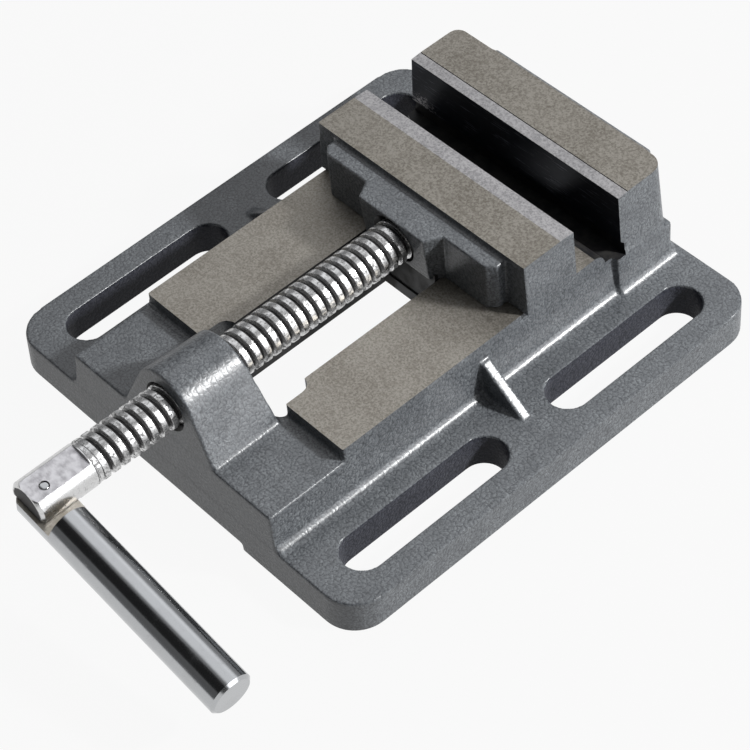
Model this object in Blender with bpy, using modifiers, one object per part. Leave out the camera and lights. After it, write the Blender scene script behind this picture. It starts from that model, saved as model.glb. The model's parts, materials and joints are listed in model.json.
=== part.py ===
"""Drill press vise with a cast base, a sliding jaw, a trapezoidal lead screw and a folding handle.

The origin lies on the underside of the base, at mid width, in the plane of the fixed jaw's gripping
face. +X runs across the base, +Y from the handle to the fixed jaw and +Z up. Lengths are in metres.
"""

from math import cos, pi, radians, sin

import bmesh
import bpy
from mathutils import Matrix, Vector

# Clearances shared by all pieces
RUNNING_GAP = 0.0003
OVERRUN = 0.003
SINK = 0.002
ROUND_SEGMENTS = 40
SMALL_ROUND_SEGMENTS = 24
CORNER_STEPS = 6
FILLET_START = 262

# Jaws
JAW_WIDTH = 0.100
JAW_DRAFT = 0.0013
JAW_HEIGHT = 0.0222
BEVEL_DROP = 0.0004
FIXED_JAW_THICKNESS = 0.0226
FIXED_JAW_BEVEL = 0.0042
FIXED_JAW_BACK_LEAN = 0.0032
JAW_CORNER = 0.004
BUTTRESS_SHOULDER = 0.0007
BUTTRESS_DRAFT = 0.0008
BUTTRESS_CORNER = 0.004
BUTTRESS_LEAD = 0.0025
BUTTRESS_HEIGHT = 0.031
BUTTRESS_DROP = 0.004
BUTTRESS_STEP = 0.0004

# Base flange
FLANGE_REACH = 0.037
BASE_FRONT = 0.1592
BASE_REAR = 0.0284
FLANGE_THICKNESS = 0.013
FLANGE_CORNER = 0.013
FRONT_LEAN_SHARE = 0.055
RELIEF_INSET = 0.054
RELIEF_HEIGHT = 0.0022

# Flange slots
SLOT_EDGE = 0.0097
SLOT_WIDTH = 0.0158
SLOT_FRONT_SETBACK = 0.0135
SLOT_REAR_SETBACK = 0.0116
SLOT_BRIDGE = 0.0225

# Body with its rails
BODY_INSET = 0.001
BODY_DRAFT = 0.002
BODY_SETBACK = 0.0005
FOOT_FILLET = 0.004
APRON_HEIGHT = 0.0283
RAIL_HEIGHT = 0.0335
RAIL_THICKNESS = 0.0135
RAIL_SETBACK = 0.0342
RAIL_END_GAP = 0.0106
GROOVE_DEPTH = 0.0045
UNDERCUT_DEPTH = 0.0015
UNDERCUT_RISE = 0.0065

# Channel between the rails and the keeper plate's tunnel under them
CHANNEL_WIDTH = 0.0352
CHANNEL_END_GAP = 0.0067
MOUTH_WIDTH = 0.043
MOUTH_SETBACK = 0.031
MOUTH_LENGTH = 0.015
CHANNEL_CORNER = 0.003
TUNNEL_WIDTH = 0.060
TUNNEL_FLOOR = 0.0125
TUNNEL_SETBACK = 0.009
TUNNEL_END_GAP = 0.0062
TUNNEL_CORNER = 0.004

# Gusset ribs
RIB_THICKNESS = 0.0042
RIB_OFFSET = 0.0009
RIB_REACH = 0.019
RIB_RISE = 0.014

# Nut boss
BOSS_SETBACK = 0.0002
BOSS_LENGTH = 0.030
BOSS_BACK_LEAN = 0.002
BOSS_RADIUS = 0.0146
BOSS_BACK_RADIUS = 0.0136
BOSS_DROP = 0.0012
BOSS_FLANK_LEAN = 26.6
BOSS_FILLET = 0.002
BORE_CHAMFER = 0.001

# Moving jaw
JAW_OPENING = 0.02115
MOVING_JAW_THICKNESS = 0.0229
MOVING_JAW_BEVEL = 0.006
LEDGE_LENGTH = 0.0067
LEDGE_DROP = 0.0023
LEDGE_INSET = 0.0085
LEDGE_CORNER = 0.003
THRUST_BOSS_LENGTH = 0.0064
THRUST_BOSS_WIDTH = 0.031
THRUST_BOSS_ROOT_WIDTH = 0.038
THRUST_BOSS_LEAN = 0.002
TONGUE_SETBACK = 0.0096
TONGUE_LENGTH = 0.0235

# Keeper plate with its screws and washers
KEEPER_WIDTH = 0.054
KEEPER_LENGTH = 0.0245
KEEPER_THICKNESS = 0.005
KEEPER_CORNER = 0.002
FASTENER_SPACING_X = 0.024
FASTENER_SPACING_Y = 0.011
WASHER_RADIUS = 0.0048
WASHER_THICKNESS = 0.001
FASTENER_RADIUS = 0.0025
FASTENER_HEAD_RADIUS = 0.0046
FASTENER_HEAD_HEIGHT = 0.0035
FASTENER_LENGTH = 0.015

# Lead screw
SCREW_HEIGHT = 0.0423
THREAD_RADIUS = 0.008
THREAD_DEPTH = 0.002
THREAD_PITCH = 0.004
THREAD_LENGTH = 0.141
THREAD_COLUMNS = 24
THREAD_PROFILE_SHARES = (0.0, 0.366, 0.5, 0.866)
SHANK_RADIUS = 0.0081
SHANK_LENGTH = 0.0228
SHANK_CHAMFER = 0.001
SHANK_FLAT_HEIGHT = 0.0066
SHANK_FLAT_LENGTH = 0.022
COUNTERBORE_DEPTH = 0.008
NOSE_RADIUS = 0.0057
NOSE_LENGTH = 0.017
NOSE_GROOVE_RADIUS = 0.0042
NOSE_GROOVE_ALONG = 0.0079
RETAINING_PIN_RADIUS = 0.002
RETAINING_PIN_TOP = 0.0485

# Handle and its hinge
SCREW_REST_TURN = radians(10.5)
LAP_LENGTH = 0.0158
CHEEK_UNDERSIDE_DROP = 0.0018
HINGE_SETBACK = 0.0063
HINGE_OFFSET = 0.0012
HINGE_PIN_RADIUS = 0.002
HINGE_PIN_HEAD_RADIUS = 0.0033
HINGE_PIN_HEAD_HEIGHT = 0.001
HANDLE_RADIUS = 0.008
HANDLE_LENGTH = 0.089
HANDLE_CHAMFER = 0.001
TONGUE_TOP_RISE = 0.0023
HANDLE_TONGUE_THICKNESS = 0.0048
HANDLE_SHOULDER = 0.011

# Sizes and places worked out from the sizes above
FRONT = -BASE_FRONT
JAW_FOOT_WIDTH = JAW_WIDTH + 2 * JAW_DRAFT
BUTTRESS_TOP_WIDTH = JAW_FOOT_WIDTH + 2 * BUTTRESS_SHOULDER
BUTTRESS_FOOT_WIDTH = BUTTRESS_TOP_WIDTH + 2 * BUTTRESS_DRAFT
BODY_TOP_WIDTH = JAW_WIDTH - 2 * BODY_INSET
BODY_FOOT_WIDTH = BODY_TOP_WIDTH + 2 * BODY_DRAFT
BASE_WIDTH = BODY_FOOT_WIDTH + 2 * FLANGE_REACH
LEDGE_WIDTH = JAW_WIDTH - 2 * LEDGE_INSET
SLOT_LENGTH = (BASE_FRONT + BASE_REAR - SLOT_FRONT_SETBACK - SLOT_REAR_SETBACK - SLOT_BRIDGE) / 2
RIB_PLACE = FRONT + SLOT_FRONT_SETBACK + SLOT_LENGTH + SLOT_BRIDGE / 2 + RIB_OFFSET
THREAD_ROOT_RADIUS = THREAD_RADIUS - THREAD_DEPTH
JAW_TOP = RAIL_HEIGHT + JAW_HEIGHT
RAIL_UNDERSIDE = RAIL_HEIGHT - RAIL_THICKNESS
GROOVE_FLOOR = RAIL_HEIGHT - GROOVE_DEPTH
MOVING_FACE = -JAW_OPENING
SLAB_BACK = MOVING_FACE - MOVING_JAW_THICKNESS
LEDGE_BACK = SLAB_BACK - LEDGE_LENGTH
THRUST_BACK = LEDGE_BACK - THRUST_BOSS_LENGTH
TONGUE_FRONT = MOVING_FACE - TONGUE_SETBACK
TONGUE_MIDDLE = TONGUE_FRONT - TONGUE_LENGTH / 2
KEEPER_TOP = RAIL_UNDERSIDE - RUNNING_GAP
KEEPER_BOTTOM = KEEPER_TOP - KEEPER_THICKNESS
SHOULDER = THRUST_BACK + COUNTERBORE_DEPTH
RETAINING_PIN_Y = SHOULDER + NOSE_GROOVE_ALONG
RETAINING_PIN_X = NOSE_GROOVE_RADIUS + RUNNING_GAP + RETAINING_PIN_RADIUS
CHEEK_UNDERSIDE = -CHEEK_UNDERSIDE_DROP
HANDLE_CENTRE = CHEEK_UNDERSIDE - RUNNING_GAP - TONGUE_TOP_RISE
TONGUE_BOTTOM = TONGUE_TOP_RISE - HANDLE_TONGUE_THICKNESS
SCREW_END = -THREAD_LENGTH - SHANK_LENGTH
HINGE_Y = SCREW_END + HINGE_SETBACK
HANDLE_END_RADIUS = LAP_LENGTH - HINGE_SETBACK - RUNNING_GAP

# Turns that lay a flat outline square to an axis
FACING = {
    "X": Matrix(((0, 0, 1, 0), (1, 0, 0, 0), (0, 1, 0, 0), (0, 0, 0, 1))),
    "Y": Matrix(((1, 0, 0, 0), (0, 0, 1, 0), (0, 1, 0, 0), (0, 0, 0, 1))),
    "Z": Matrix.Identity(4),
}
TURNED_TO = {"X": (0, pi / 2, 0), "Y": (-pi / 2, 0, 0), "Z": (0, 0, 0)}

FINISHES = {
    "hammered_grey_paint": ((0.13, 0.14, 0.155), 0.35, 0.2),
    "ground_cast_iron": ((0.30, 0.29, 0.27), 0.45, 0.9),
    "zinc_plated_steel": ((0.62, 0.61, 0.58), 0.28, 1.0),
    "bright_steel": ((0.66, 0.66, 0.68), 0.2, 1.0),
    "dark_steel": ((0.09, 0.09, 0.10), 0.4, 1.0),
}


def clear_scene():
    """Remove every object, so that the script starts from nothing."""
    for old in list(bpy.data.objects):
        bpy.data.objects.remove(old, do_unlink=True)


def new_collection(name):
    """Make a collection in the scene and return it."""
    made = bpy.data.collections.new(name)
    bpy.context.scene.collection.children.link(made)
    return made


def new_object(name, mesh, where):
    """Put a mesh into a collection as a named object."""
    made = bpy.data.objects.new(name, mesh)
    where.objects.link(made)
    return made


def mesh_from(name, shape):
    """Turn an edited shape into a mesh whose faces point out."""
    bmesh.ops.recalc_face_normals(shape, faces=shape.faces)
    mesh = bpy.data.meshes.new(name)
    shape.to_mesh(mesh)
    shape.free()
    return mesh


def arc(centre, radius, first, last, steps=CORNER_STEPS, height=None):
    """Return points on an arc about a centre, between two angles in degrees."""
    height = radius if height is None else height
    angles = [radians(first + (last - first) * step / steps) for step in range(steps + 1)]
    return [(centre[0] + radius * cos(a), centre[1] + height * sin(a)) for a in angles]


def rounded_rectangle(left, near, right, far, radius):
    """Return the outline of a rectangle with round corners."""
    corners = (
        ((right - radius, far - radius), 0),
        ((left + radius, far - radius), 90),
        ((left + radius, near + radius), 180),
        ((right - radius, near + radius), 270),
    )
    return [point for centre, first in corners for point in arc(centre, radius, first, first + 90)]


def prism(name, outline, start, end, axis, where):
    """Make a solid with a flat outline that reaches from start to end along an axis.

    An outline is given in (y, z) along X, in (x, z) along Y and in (x, y) along Z.
    """
    curve = bpy.data.curves.new(name, "CURVE")
    curve.dimensions = "2D"
    curve.fill_mode = "BOTH"
    curve.extrude = (end - start) / 2
    spline = curve.splines.new("POLY")
    spline.points.add(len(outline) - 1)
    for point, (across, up) in zip(spline.points, outline):
        point.co = (across, up, 0, 1)
    spline.use_cyclic_u = True
    guide = new_object(name, curve, where)
    bpy.context.view_layer.update()
    depsgraph = bpy.context.evaluated_depsgraph_get()
    flat = bpy.data.meshes.new_from_object(guide.evaluated_get(depsgraph))
    flat.transform(FACING[axis] @ Matrix.Translation((0, 0, (start + end) / 2)))
    shape = bmesh.new()
    shape.from_mesh(flat)
    bmesh.ops.remove_doubles(shape, verts=shape.verts, dist=RUNNING_GAP / 100)
    bpy.data.objects.remove(guide, do_unlink=True)
    bpy.data.curves.remove(curve)
    bpy.data.meshes.remove(flat)
    return new_object(name, mesh_from(name, shape), where)


def box(name, low, high, where):
    """Make a box between two corners."""
    size = Vector(high) - Vector(low)
    middle = (Vector(high) + Vector(low)) / 2
    shape = bmesh.new()
    bmesh.ops.create_cube(shape, size=1, matrix=Matrix.Translation(middle) @ Matrix.Diagonal((*size, 1)))
    return new_object(name, mesh_from(name, shape), where)


def rod(name, radii, centre, start, end, axis, where, segments=ROUND_SEGMENTS):
    """Make a round solid from start to end along an axis, with a radius at each end.

    The centre is given in the two other coordinates, in the order of an outline's.
    """
    shape = bmesh.new()
    bmesh.ops.create_cone(
        shape, cap_ends=True, segments=segments, radius1=radii[0], radius2=radii[1], depth=end - start
    )
    middle = Matrix.Translation((centre[0], centre[1], (start + end) / 2))
    bmesh.ops.transform(shape, matrix=FACING[axis] @ middle, verts=shape.verts)
    return new_object(name, mesh_from(name, shape), where)


def turned(name, profile, axis, where, segments=ROUND_SEGMENTS):
    """Make a turned solid from (radius, along) points, from its far end on the axis to its near one."""
    mesh = bpy.data.meshes.new(name)
    points = [(radius, 0, along) for radius, along in profile]
    mesh.from_pydata(points, [(n, n + 1) for n in range(len(points) - 1)], [])
    made = new_object(name, mesh, where)
    screw = made.modifiers.new("Turn", "SCREW")
    screw.steps = screw.render_steps = segments
    screw.use_merge_vertices = True
    screw.merge_threshold = RUNNING_GAP / 100
    made.rotation_euler = TURNED_TO[axis]
    return made


def shift_points(piece, move):
    """Replace each point of a piece by what a function makes of it."""
    for vertex in piece.data.vertices:
        vertex.co = move(*vertex.co)


def width_between(foot_width, foot, top_width, top):
    """Return a function that gives a piece with drafted sides its width at each height."""
    def move(x, y, z):
        share = (z - foot) / (top - foot)
        half = (foot_width + share * (top_width - foot_width)) / 2
        return (half if x > 0 else -half, y, z)
    return move


def combine(piece, other, operation):
    """Join another shape to a piece, cut it out, or keep what they share."""
    modifier = piece.modifiers.new(other.name, "BOOLEAN")
    modifier.operation = operation
    modifier.solver = "EXACT"
    modifier.object = other
    other.hide_render = True
    other.display_type = "WIRE"


def finish(piece, look):
    """Give a piece its material and smooth shading on its round faces."""
    material = bpy.data.materials.new(piece.name)
    colour, roughness, metallic = FINISHES[look]
    material.diffuse_color = (*colour, 1)
    material.use_nodes = True
    shader = material.node_tree.nodes["Principled BSDF"]
    shader.inputs["Base Color"].default_value = (*colour, 1)
    shader.inputs["Roughness"].default_value = roughness
    shader.inputs["Metallic"].default_value = metallic
    if not piece.data.materials:
        piece.data.materials.append(material)
    piece.data.shade_smooth()
    piece.data.set_sharp_from_angle(angle=radians(30))


def joint_empty(name, location, turn, parent, where):
    """Make an empty on a joint's axis, placed in its parent's frame."""
    made = new_object(name, None, where)
    made.location = location
    made.rotation_euler.y = turn
    made.parent = parent
    return made


def attach(piece, parent):
    """Place a piece, and the shapes that its modifiers use, in a joint's frame."""
    piece.parent = parent
    for modifier in piece.modifiers:
        if modifier.type == "BOOLEAN":
            modifier.object.parent = parent


# Base casting
def lean_front(depth):
    """Return a function that leans the points near the base's front back as they rise."""
    def move(x, y, z):
        return (x, y + (FRONT_LEAN_SHARE * z if y < FRONT + depth + RUNNING_GAP else 0), z)
    return move


def flange(where):
    """Make the flange plate, whose front face leans back a little."""
    half = BASE_WIDTH / 2
    outline = rounded_rectangle(-half, FRONT, half, BASE_REAR, FLANGE_CORNER)
    piece = prism("base_casting", outline, 0, FLANGE_THICKNESS, "Z", where)
    shift_points(piece, lean_front(FLANGE_CORNER))
    return piece


def filleted_wall(foot_width, top_width, top):
    """Return the cross outline of a body with leaning walls and a fillet at the flange."""
    foot = FLANGE_THICKNESS + FOOT_FILLET
    half_foot = foot_width / 2
    corner = (half_foot + FOOT_FILLET, foot)
    fillet = arc(corner, FOOT_FILLET, FILLET_START, 180)
    right = [(fillet[0][0], FLANGE_THICKNESS - SINK), *fillet, (top_width / 2, top)]
    return right + [(-x, z) for x, z in reversed(right)]


def body(where):
    """Make the body under the rails, whose front part is the low apron."""
    outline = filleted_wall(BODY_FOOT_WIDTH, BODY_TOP_WIDTH, RAIL_HEIGHT)
    start = FRONT + BODY_SETBACK
    piece = prism("body", outline, start, SINK, "Y", where)
    shift_points(piece, lean_front(BODY_SETBACK))
    return piece


def fixed_jaw(where):
    """Make the fixed jaw, with round rear corners and a back that leans out to its foot."""
    half = JAW_WIDTH / 2
    back = FIXED_JAW_THICKNESS
    centre = (half - JAW_CORNER, back - JAW_CORNER)
    right = [(half, 0), *arc(centre, JAW_CORNER, 0, 90)]
    outline = right + [(-x, y) for x, y in reversed(right)]
    piece = prism("fixed_jaw", outline, FLANGE_THICKNESS - SINK, JAW_TOP, "Z", where)
    draft = (JAW_FOOT_WIDTH / JAW_WIDTH - 1) / JAW_HEIGHT
    lean = FIXED_JAW_BACK_LEAN / FIXED_JAW_THICKNESS / JAW_TOP
    shift_points(piece, lambda x, y, z: (x * (1 + draft * (JAW_TOP - z)), y * (1 + lean * (JAW_TOP - z)), z))
    return piece


def fixed_jaw_bevel(where):
    """Make the cutter of the shallow bevel along the fixed jaw's gripping edge."""
    rise = BEVEL_DROP / FIXED_JAW_BEVEL * OVERRUN
    near = JAW_TOP - BEVEL_DROP
    outline = [
        (-OVERRUN, near - rise),
        (FIXED_JAW_BEVEL + OVERRUN, JAW_TOP + rise),
        (FIXED_JAW_BEVEL + OVERRUN, JAW_TOP + OVERRUN),
        (-OVERRUN, JAW_TOP + OVERRUN),
    ]
    half = JAW_FOOT_WIDTH / 2 + OVERRUN
    return prism("fixed_jaw_bevel", outline, -half, half, "X", where)


def buttress(where):
    """Make the wider foot of the fixed jaw, whose shoulders fall towards its round rear corners."""
    outline = filleted_wall(BUTTRESS_FOOT_WIDTH, BUTTRESS_TOP_WIDTH, BUTTRESS_HEIGHT)
    back = FIXED_JAW_THICKNESS + FIXED_JAW_BACK_LEAN + BUTTRESS_STEP
    piece = prism("buttress", outline, -BUTTRESS_LEAD, back, "Y", where)

    def move(x, y, z):
        if y < 0:
            return (x, y, z)
        low = z - BUTTRESS_DROP if z > BUTTRESS_HEIGHT - RUNNING_GAP else z
        return (x, y - FIXED_JAW_BACK_LEAN * low / JAW_TOP, low)

    shift_points(piece, move)
    low = FLANGE_THICKNESS + FOOT_FILLET
    edge = BUTTRESS_FOOT_WIDTH / 2
    rear = back - FIXED_JAW_BACK_LEAN * low / JAW_TOP
    round_corner = arc((edge - BUTTRESS_CORNER, rear - BUTTRESS_CORNER), BUTTRESS_CORNER, 0, 90)
    waste = [*round_corner, (edge - BUTTRESS_CORNER, rear + OVERRUN), (edge + OVERRUN, rear + OVERRUN)]
    waste.append((edge + OVERRUN, rear - BUTTRESS_CORNER))
    for name, side in (("corner_right", 1), ("corner_left", -1)):
        cutter = prism(name, [(side * x, y) for x, y in waste], low, BUTTRESS_HEIGHT + OVERRUN, "Z", where)
        combine(piece, cutter, "DIFFERENCE")
    return piece


def nut_boss(where):
    """Make the arched boss with straight flanks that the screw runs in, narrower at its back."""
    lean = radians(BOSS_FLANK_LEAN)
    middle = SCREW_HEIGHT - BOSS_DROP
    foot = APRON_HEIGHT + BOSS_FILLET
    across = (BOSS_RADIUS + BOSS_FILLET + (middle - foot) * sin(lean)) / cos(lean)
    fillet = arc((across, foot), BOSS_FILLET, FILLET_START, 180 + BOSS_FLANK_LEAN)
    right = [(fillet[0][0], APRON_HEIGHT - SINK), *fillet]
    arch = arc((0, middle), BOSS_RADIUS, BOSS_FLANK_LEAN, 180 - BOSS_FLANK_LEAN, 4 * CORNER_STEPS)
    outline = right + arch + [(-x, z) for x, z in reversed(right)]
    start = FRONT + BOSS_SETBACK
    piece = prism("nut_boss", outline, start, start + BOSS_LENGTH, "Y", where)
    taper = BOSS_BACK_RADIUS / BOSS_RADIUS
    rise = middle + BOSS_RADIUS - APRON_HEIGHT

    def move(x, y, z):
        if y < start + RUNNING_GAP:
            return (x, y + FRONT_LEAN_SHARE * z, z)
        share = min(1, (z - APRON_HEIGHT) / (middle - APRON_HEIGHT))
        up = middle + (z - middle) * taper if z > middle else z
        return (x * (1 + (taper - 1) * share), y - BOSS_BACK_LEAN * (z - APRON_HEIGHT) / rise, up)

    shift_points(piece, move)
    return piece


def ribs(where):
    """Make the gusset rib on each side of the body."""
    wall = BODY_TOP_WIDTH / 2 - SINK
    foot = BODY_FOOT_WIDTH / 2
    low = FLANGE_THICKNESS - SINK
    top = FLANGE_THICKNESS + RIB_RISE
    end = foot + RIB_REACH * (top - low) / RIB_RISE
    outline = [(wall, low), (end, low), (foot, top), (wall, top)]
    start = RIB_PLACE - RIB_THICKNESS / 2
    for name, side in (("rib_right", 1), ("rib_left", -1)):
        turned_outline = [(side * x, z) for x, z in outline]
        yield prism(name, turned_outline, start, start + RIB_THICKNESS, "Y", where)


def slots(where):
    """Make the cutters of the four flange slots."""
    front = FRONT + SLOT_FRONT_SETBACK
    rear = BASE_REAR - SLOT_REAR_SETBACK - SLOT_LENGTH
    for side in (-1, 1):
        for place, near in (("front", front), ("rear", rear)):
            left = side * (BASE_WIDTH / 2 - SLOT_EDGE - SLOT_WIDTH / 2) - SLOT_WIDTH / 2
            outline = rounded_rectangle(left, near, left + SLOT_WIDTH, near + SLOT_LENGTH, SLOT_WIDTH / 2)
            name = f"slot_{place}_{'right' if side > 0 else 'left'}"
            yield prism(name, outline, -OVERRUN, FLANGE_THICKNESS + OVERRUN, "Z", where)


def base_cutters(where):
    """Make what is cut from the base once its shapes are joined."""
    yield from slots(where)
    half = MOUTH_WIDTH / 2
    mouth = FRONT + MOUTH_SETBACK
    outline = rounded_rectangle(-half, mouth, half, mouth + MOUTH_LENGTH, CHANNEL_CORNER)
    top = RAIL_HEIGHT + OVERRUN
    yield prism("channel_mouth", outline, -OVERRUN, top, "Z", where)
    half = CHANNEL_WIDTH / 2
    start = mouth + MOUTH_LENGTH - CHANNEL_CORNER - SINK
    outline = rounded_rectangle(-half, start, half, -CHANNEL_END_GAP, CHANNEL_CORNER)
    yield prism("channel", outline, -OVERRUN, top, "Z", where)
    half = TUNNEL_WIDTH / 2
    outline = rounded_rectangle(-half, FRONT + TUNNEL_SETBACK, half, -TUNNEL_END_GAP, TUNNEL_CORNER)
    yield prism("keeper_tunnel", outline, TUNNEL_FLOOR, RAIL_UNDERSIDE, "Z", where)
    half = BASE_WIDTH / 2 - RELIEF_INSET
    low = (-half, FRONT - OVERRUN, -OVERRUN)
    yield box("underside_relief", low, (half, -CHANNEL_END_GAP, RELIEF_HEIGHT), where)
    bore = THREAD_RADIUS + RUNNING_GAP
    centre = (0, SCREW_HEIGHT)
    back = FRONT + BOSS_SETBACK + BOSS_LENGTH + OVERRUN
    yield rod("screw_bore", (bore, bore), centre, FRONT - OVERRUN, back, "Y", where)
    face = FRONT + BOSS_SETBACK + FRONT_LEAN_SHARE * SCREW_HEIGHT
    radii = (bore + BORE_CHAMFER + OVERRUN, bore)
    yield rod("bore_chamfer", radii, centre, face - OVERRUN, face + BORE_CHAMFER, "Y", where)


def jaw_groove(where):
    """Make the cutter of the groove at the fixed jaw's foot, with its undercut in the jaw."""
    round_end = arc((-RAIL_END_GAP, GROOVE_FLOOR), GROOVE_DEPTH, 90, 0)
    outline = [(-RAIL_END_GAP, RAIL_HEIGHT + OVERRUN)] + round_end
    outline += [
        (UNDERCUT_DEPTH, GROOVE_FLOOR),
        (UNDERCUT_DEPTH, GROOVE_FLOOR + UNDERCUT_RISE - UNDERCUT_DEPTH),
        (-OVERRUN, GROOVE_FLOOR + UNDERCUT_RISE + OVERRUN),
    ]
    half = BUTTRESS_FOOT_WIDTH / 2 + OVERRUN
    return prism("jaw_groove", outline, -half, half, "X", where)


def base_casting(where, tools):
    """Make the base casting: flange, body, rails, nut boss and fixed jaw."""
    piece = flange(where)
    combine(piece, body(tools), "UNION")
    half = BUTTRESS_FOOT_WIDTH / 2 + OVERRUN
    low = (-half, FRONT - OVERRUN, APRON_HEIGHT)
    high = (half, FRONT + RAIL_SETBACK, RAIL_HEIGHT + OVERRUN)
    combine(piece, box("apron", low, high, tools), "DIFFERENCE")
    for shape in (fixed_jaw(tools), buttress(tools), nut_boss(tools), *ribs(tools)):
        combine(piece, shape, "UNION")
    for cutter in (fixed_jaw_bevel(tools), jaw_groove(tools), *base_cutters(tools)):
        combine(piece, cutter, "DIFFERENCE")
    finish(piece, "hammered_grey_paint")
    return piece


# Moving jaw
def jaw_slab(where):
    """Make the moving jaw's slab, with its ground bevel at the gripping face."""
    foot = RAIL_HEIGHT + RUNNING_GAP
    outline = [
        (MOVING_FACE, foot),
        (MOVING_FACE, JAW_TOP - BEVEL_DROP),
        (MOVING_FACE - MOVING_JAW_BEVEL, JAW_TOP),
        (SLAB_BACK, JAW_TOP),
        (SLAB_BACK, foot),
    ]
    half = JAW_WIDTH / 2
    piece = prism("moving_jaw", outline, -half, half, "X", where)
    shift_points(piece, width_between(JAW_FOOT_WIDTH, RAIL_HEIGHT, JAW_WIDTH, JAW_TOP))
    return piece


def jaw_back(where):
    """Make the lower block behind the slab and the boss that takes the screw's thrust."""
    foot = RAIL_HEIGHT + RUNNING_GAP
    top = JAW_TOP - LEDGE_DROP
    half = LEDGE_WIDTH / 2
    front = SLAB_BACK + SINK
    outline = [
        (-half, front),
        (-half, LEDGE_BACK + LEDGE_CORNER),
        (LEDGE_CORNER - half, LEDGE_BACK),
        (half - LEDGE_CORNER, LEDGE_BACK),
        (half, LEDGE_BACK + LEDGE_CORNER),
        (half, front),
    ]
    middle = (foot + top) / 2

    def move(x, y, z):
        if z > middle:
            return (x, y, top)
        return (x, y + (THRUST_BOSS_LEAN if y < LEDGE_BACK - RUNNING_GAP else 0), foot)

    root = THRUST_BOSS_ROOT_WIDTH / 2
    tip = THRUST_BOSS_WIDTH / 2
    boss = [(-root, front), (-root, LEDGE_BACK), (-tip, THRUST_BACK)]
    boss += [(-x, y) for x, y in reversed(boss)]
    for name, points in (("jaw_ledge", outline), ("thrust_boss", boss)):
        piece = prism(name, points, foot, top, "Z", where)
        shift_points(piece, move)
        yield piece


def guide_tongue(where):
    """Make the tongue that runs between the rails and carries the keeper plate."""
    half = CHANNEL_WIDTH / 2 - RUNNING_GAP
    low = (-half, TONGUE_FRONT - TONGUE_LENGTH, RAIL_UNDERSIDE)
    high = (half, TONGUE_FRONT, RAIL_HEIGHT + RUNNING_GAP + SINK)
    return box("guide_tongue", low, high, where)


def fastener_places():
    """Return the places of the keeper plate's four screws."""
    across = FASTENER_SPACING_X / 2
    along = FASTENER_SPACING_Y / 2
    return [(x, TONGUE_MIDDLE + y) for x in (-across, across) for y in (-along, along)]


def moving_jaw(where, tools):
    """Make the moving jaw with its blind holes for the screw, the pins and the keeper's screws."""
    piece = jaw_slab(where)
    for shape in (*jaw_back(tools), guide_tongue(tools)):
        combine(piece, shape, "UNION")
    centre = (0, SCREW_HEIGHT)
    bore = THREAD_RADIUS + RUNNING_GAP
    floor = SHOULDER + RUNNING_GAP
    back = THRUST_BACK - OVERRUN
    combine(piece, rod("counterbore", (bore, bore), centre, back, floor, "Y", tools), "DIFFERENCE")
    bore = NOSE_RADIUS + RUNNING_GAP
    end = SHOULDER + NOSE_LENGTH + RUNNING_GAP
    combine(piece, rod("nose_bore", (bore, bore), centre, floor - SINK, end, "Y", tools), "DIFFERENCE")
    low = RAIL_UNDERSIDE - OVERRUN
    bore = RETAINING_PIN_RADIUS + RUNNING_GAP
    top = RETAINING_PIN_TOP + RUNNING_GAP
    for name, x in (("pin_hole_left", -RETAINING_PIN_X), ("pin_hole_right", RETAINING_PIN_X)):
        hole = rod(name, (bore, bore), (x, RETAINING_PIN_Y), low, top, "Z", tools, SMALL_ROUND_SEGMENTS)
        combine(piece, hole, "DIFFERENCE")
    bore = FASTENER_RADIUS + RUNNING_GAP
    top = head_top() + FASTENER_LENGTH + RUNNING_GAP
    for number, place in enumerate(fastener_places(), 1):
        name = f"tapped_hole_{number}"
        hole = rod(name, (bore, bore), place, low, top, "Z", tools, SMALL_ROUND_SEGMENTS)
        combine(piece, hole, "DIFFERENCE")
    finish(piece, "hammered_grey_paint")
    return piece


# Keeper plate and its fasteners
def head_top():
    """Return the height of the faces that the screws' heads press with."""
    return KEEPER_BOTTOM - WASHER_THICKNESS - 2 * RUNNING_GAP


def keeper_plate(where, tools):
    """Make the plate that holds the moving jaw down on the rails."""
    half = KEEPER_WIDTH / 2
    near = TONGUE_MIDDLE - KEEPER_LENGTH / 2
    outline = rounded_rectangle(-half, near, half, near + KEEPER_LENGTH, KEEPER_CORNER)
    piece = prism("keeper_plate", outline, KEEPER_BOTTOM, KEEPER_TOP, "Z", where)
    bore = FASTENER_RADIUS + RUNNING_GAP
    low = KEEPER_BOTTOM - OVERRUN
    for number, place in enumerate(fastener_places(), 1):
        name = f"keeper_hole_{number}"
        top = KEEPER_TOP + OVERRUN
        hole = rod(name, (bore, bore), place, low, top, "Z", tools, SMALL_ROUND_SEGMENTS)
        combine(piece, hole, "DIFFERENCE")
    finish(piece, "dark_steel")
    return piece


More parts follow.
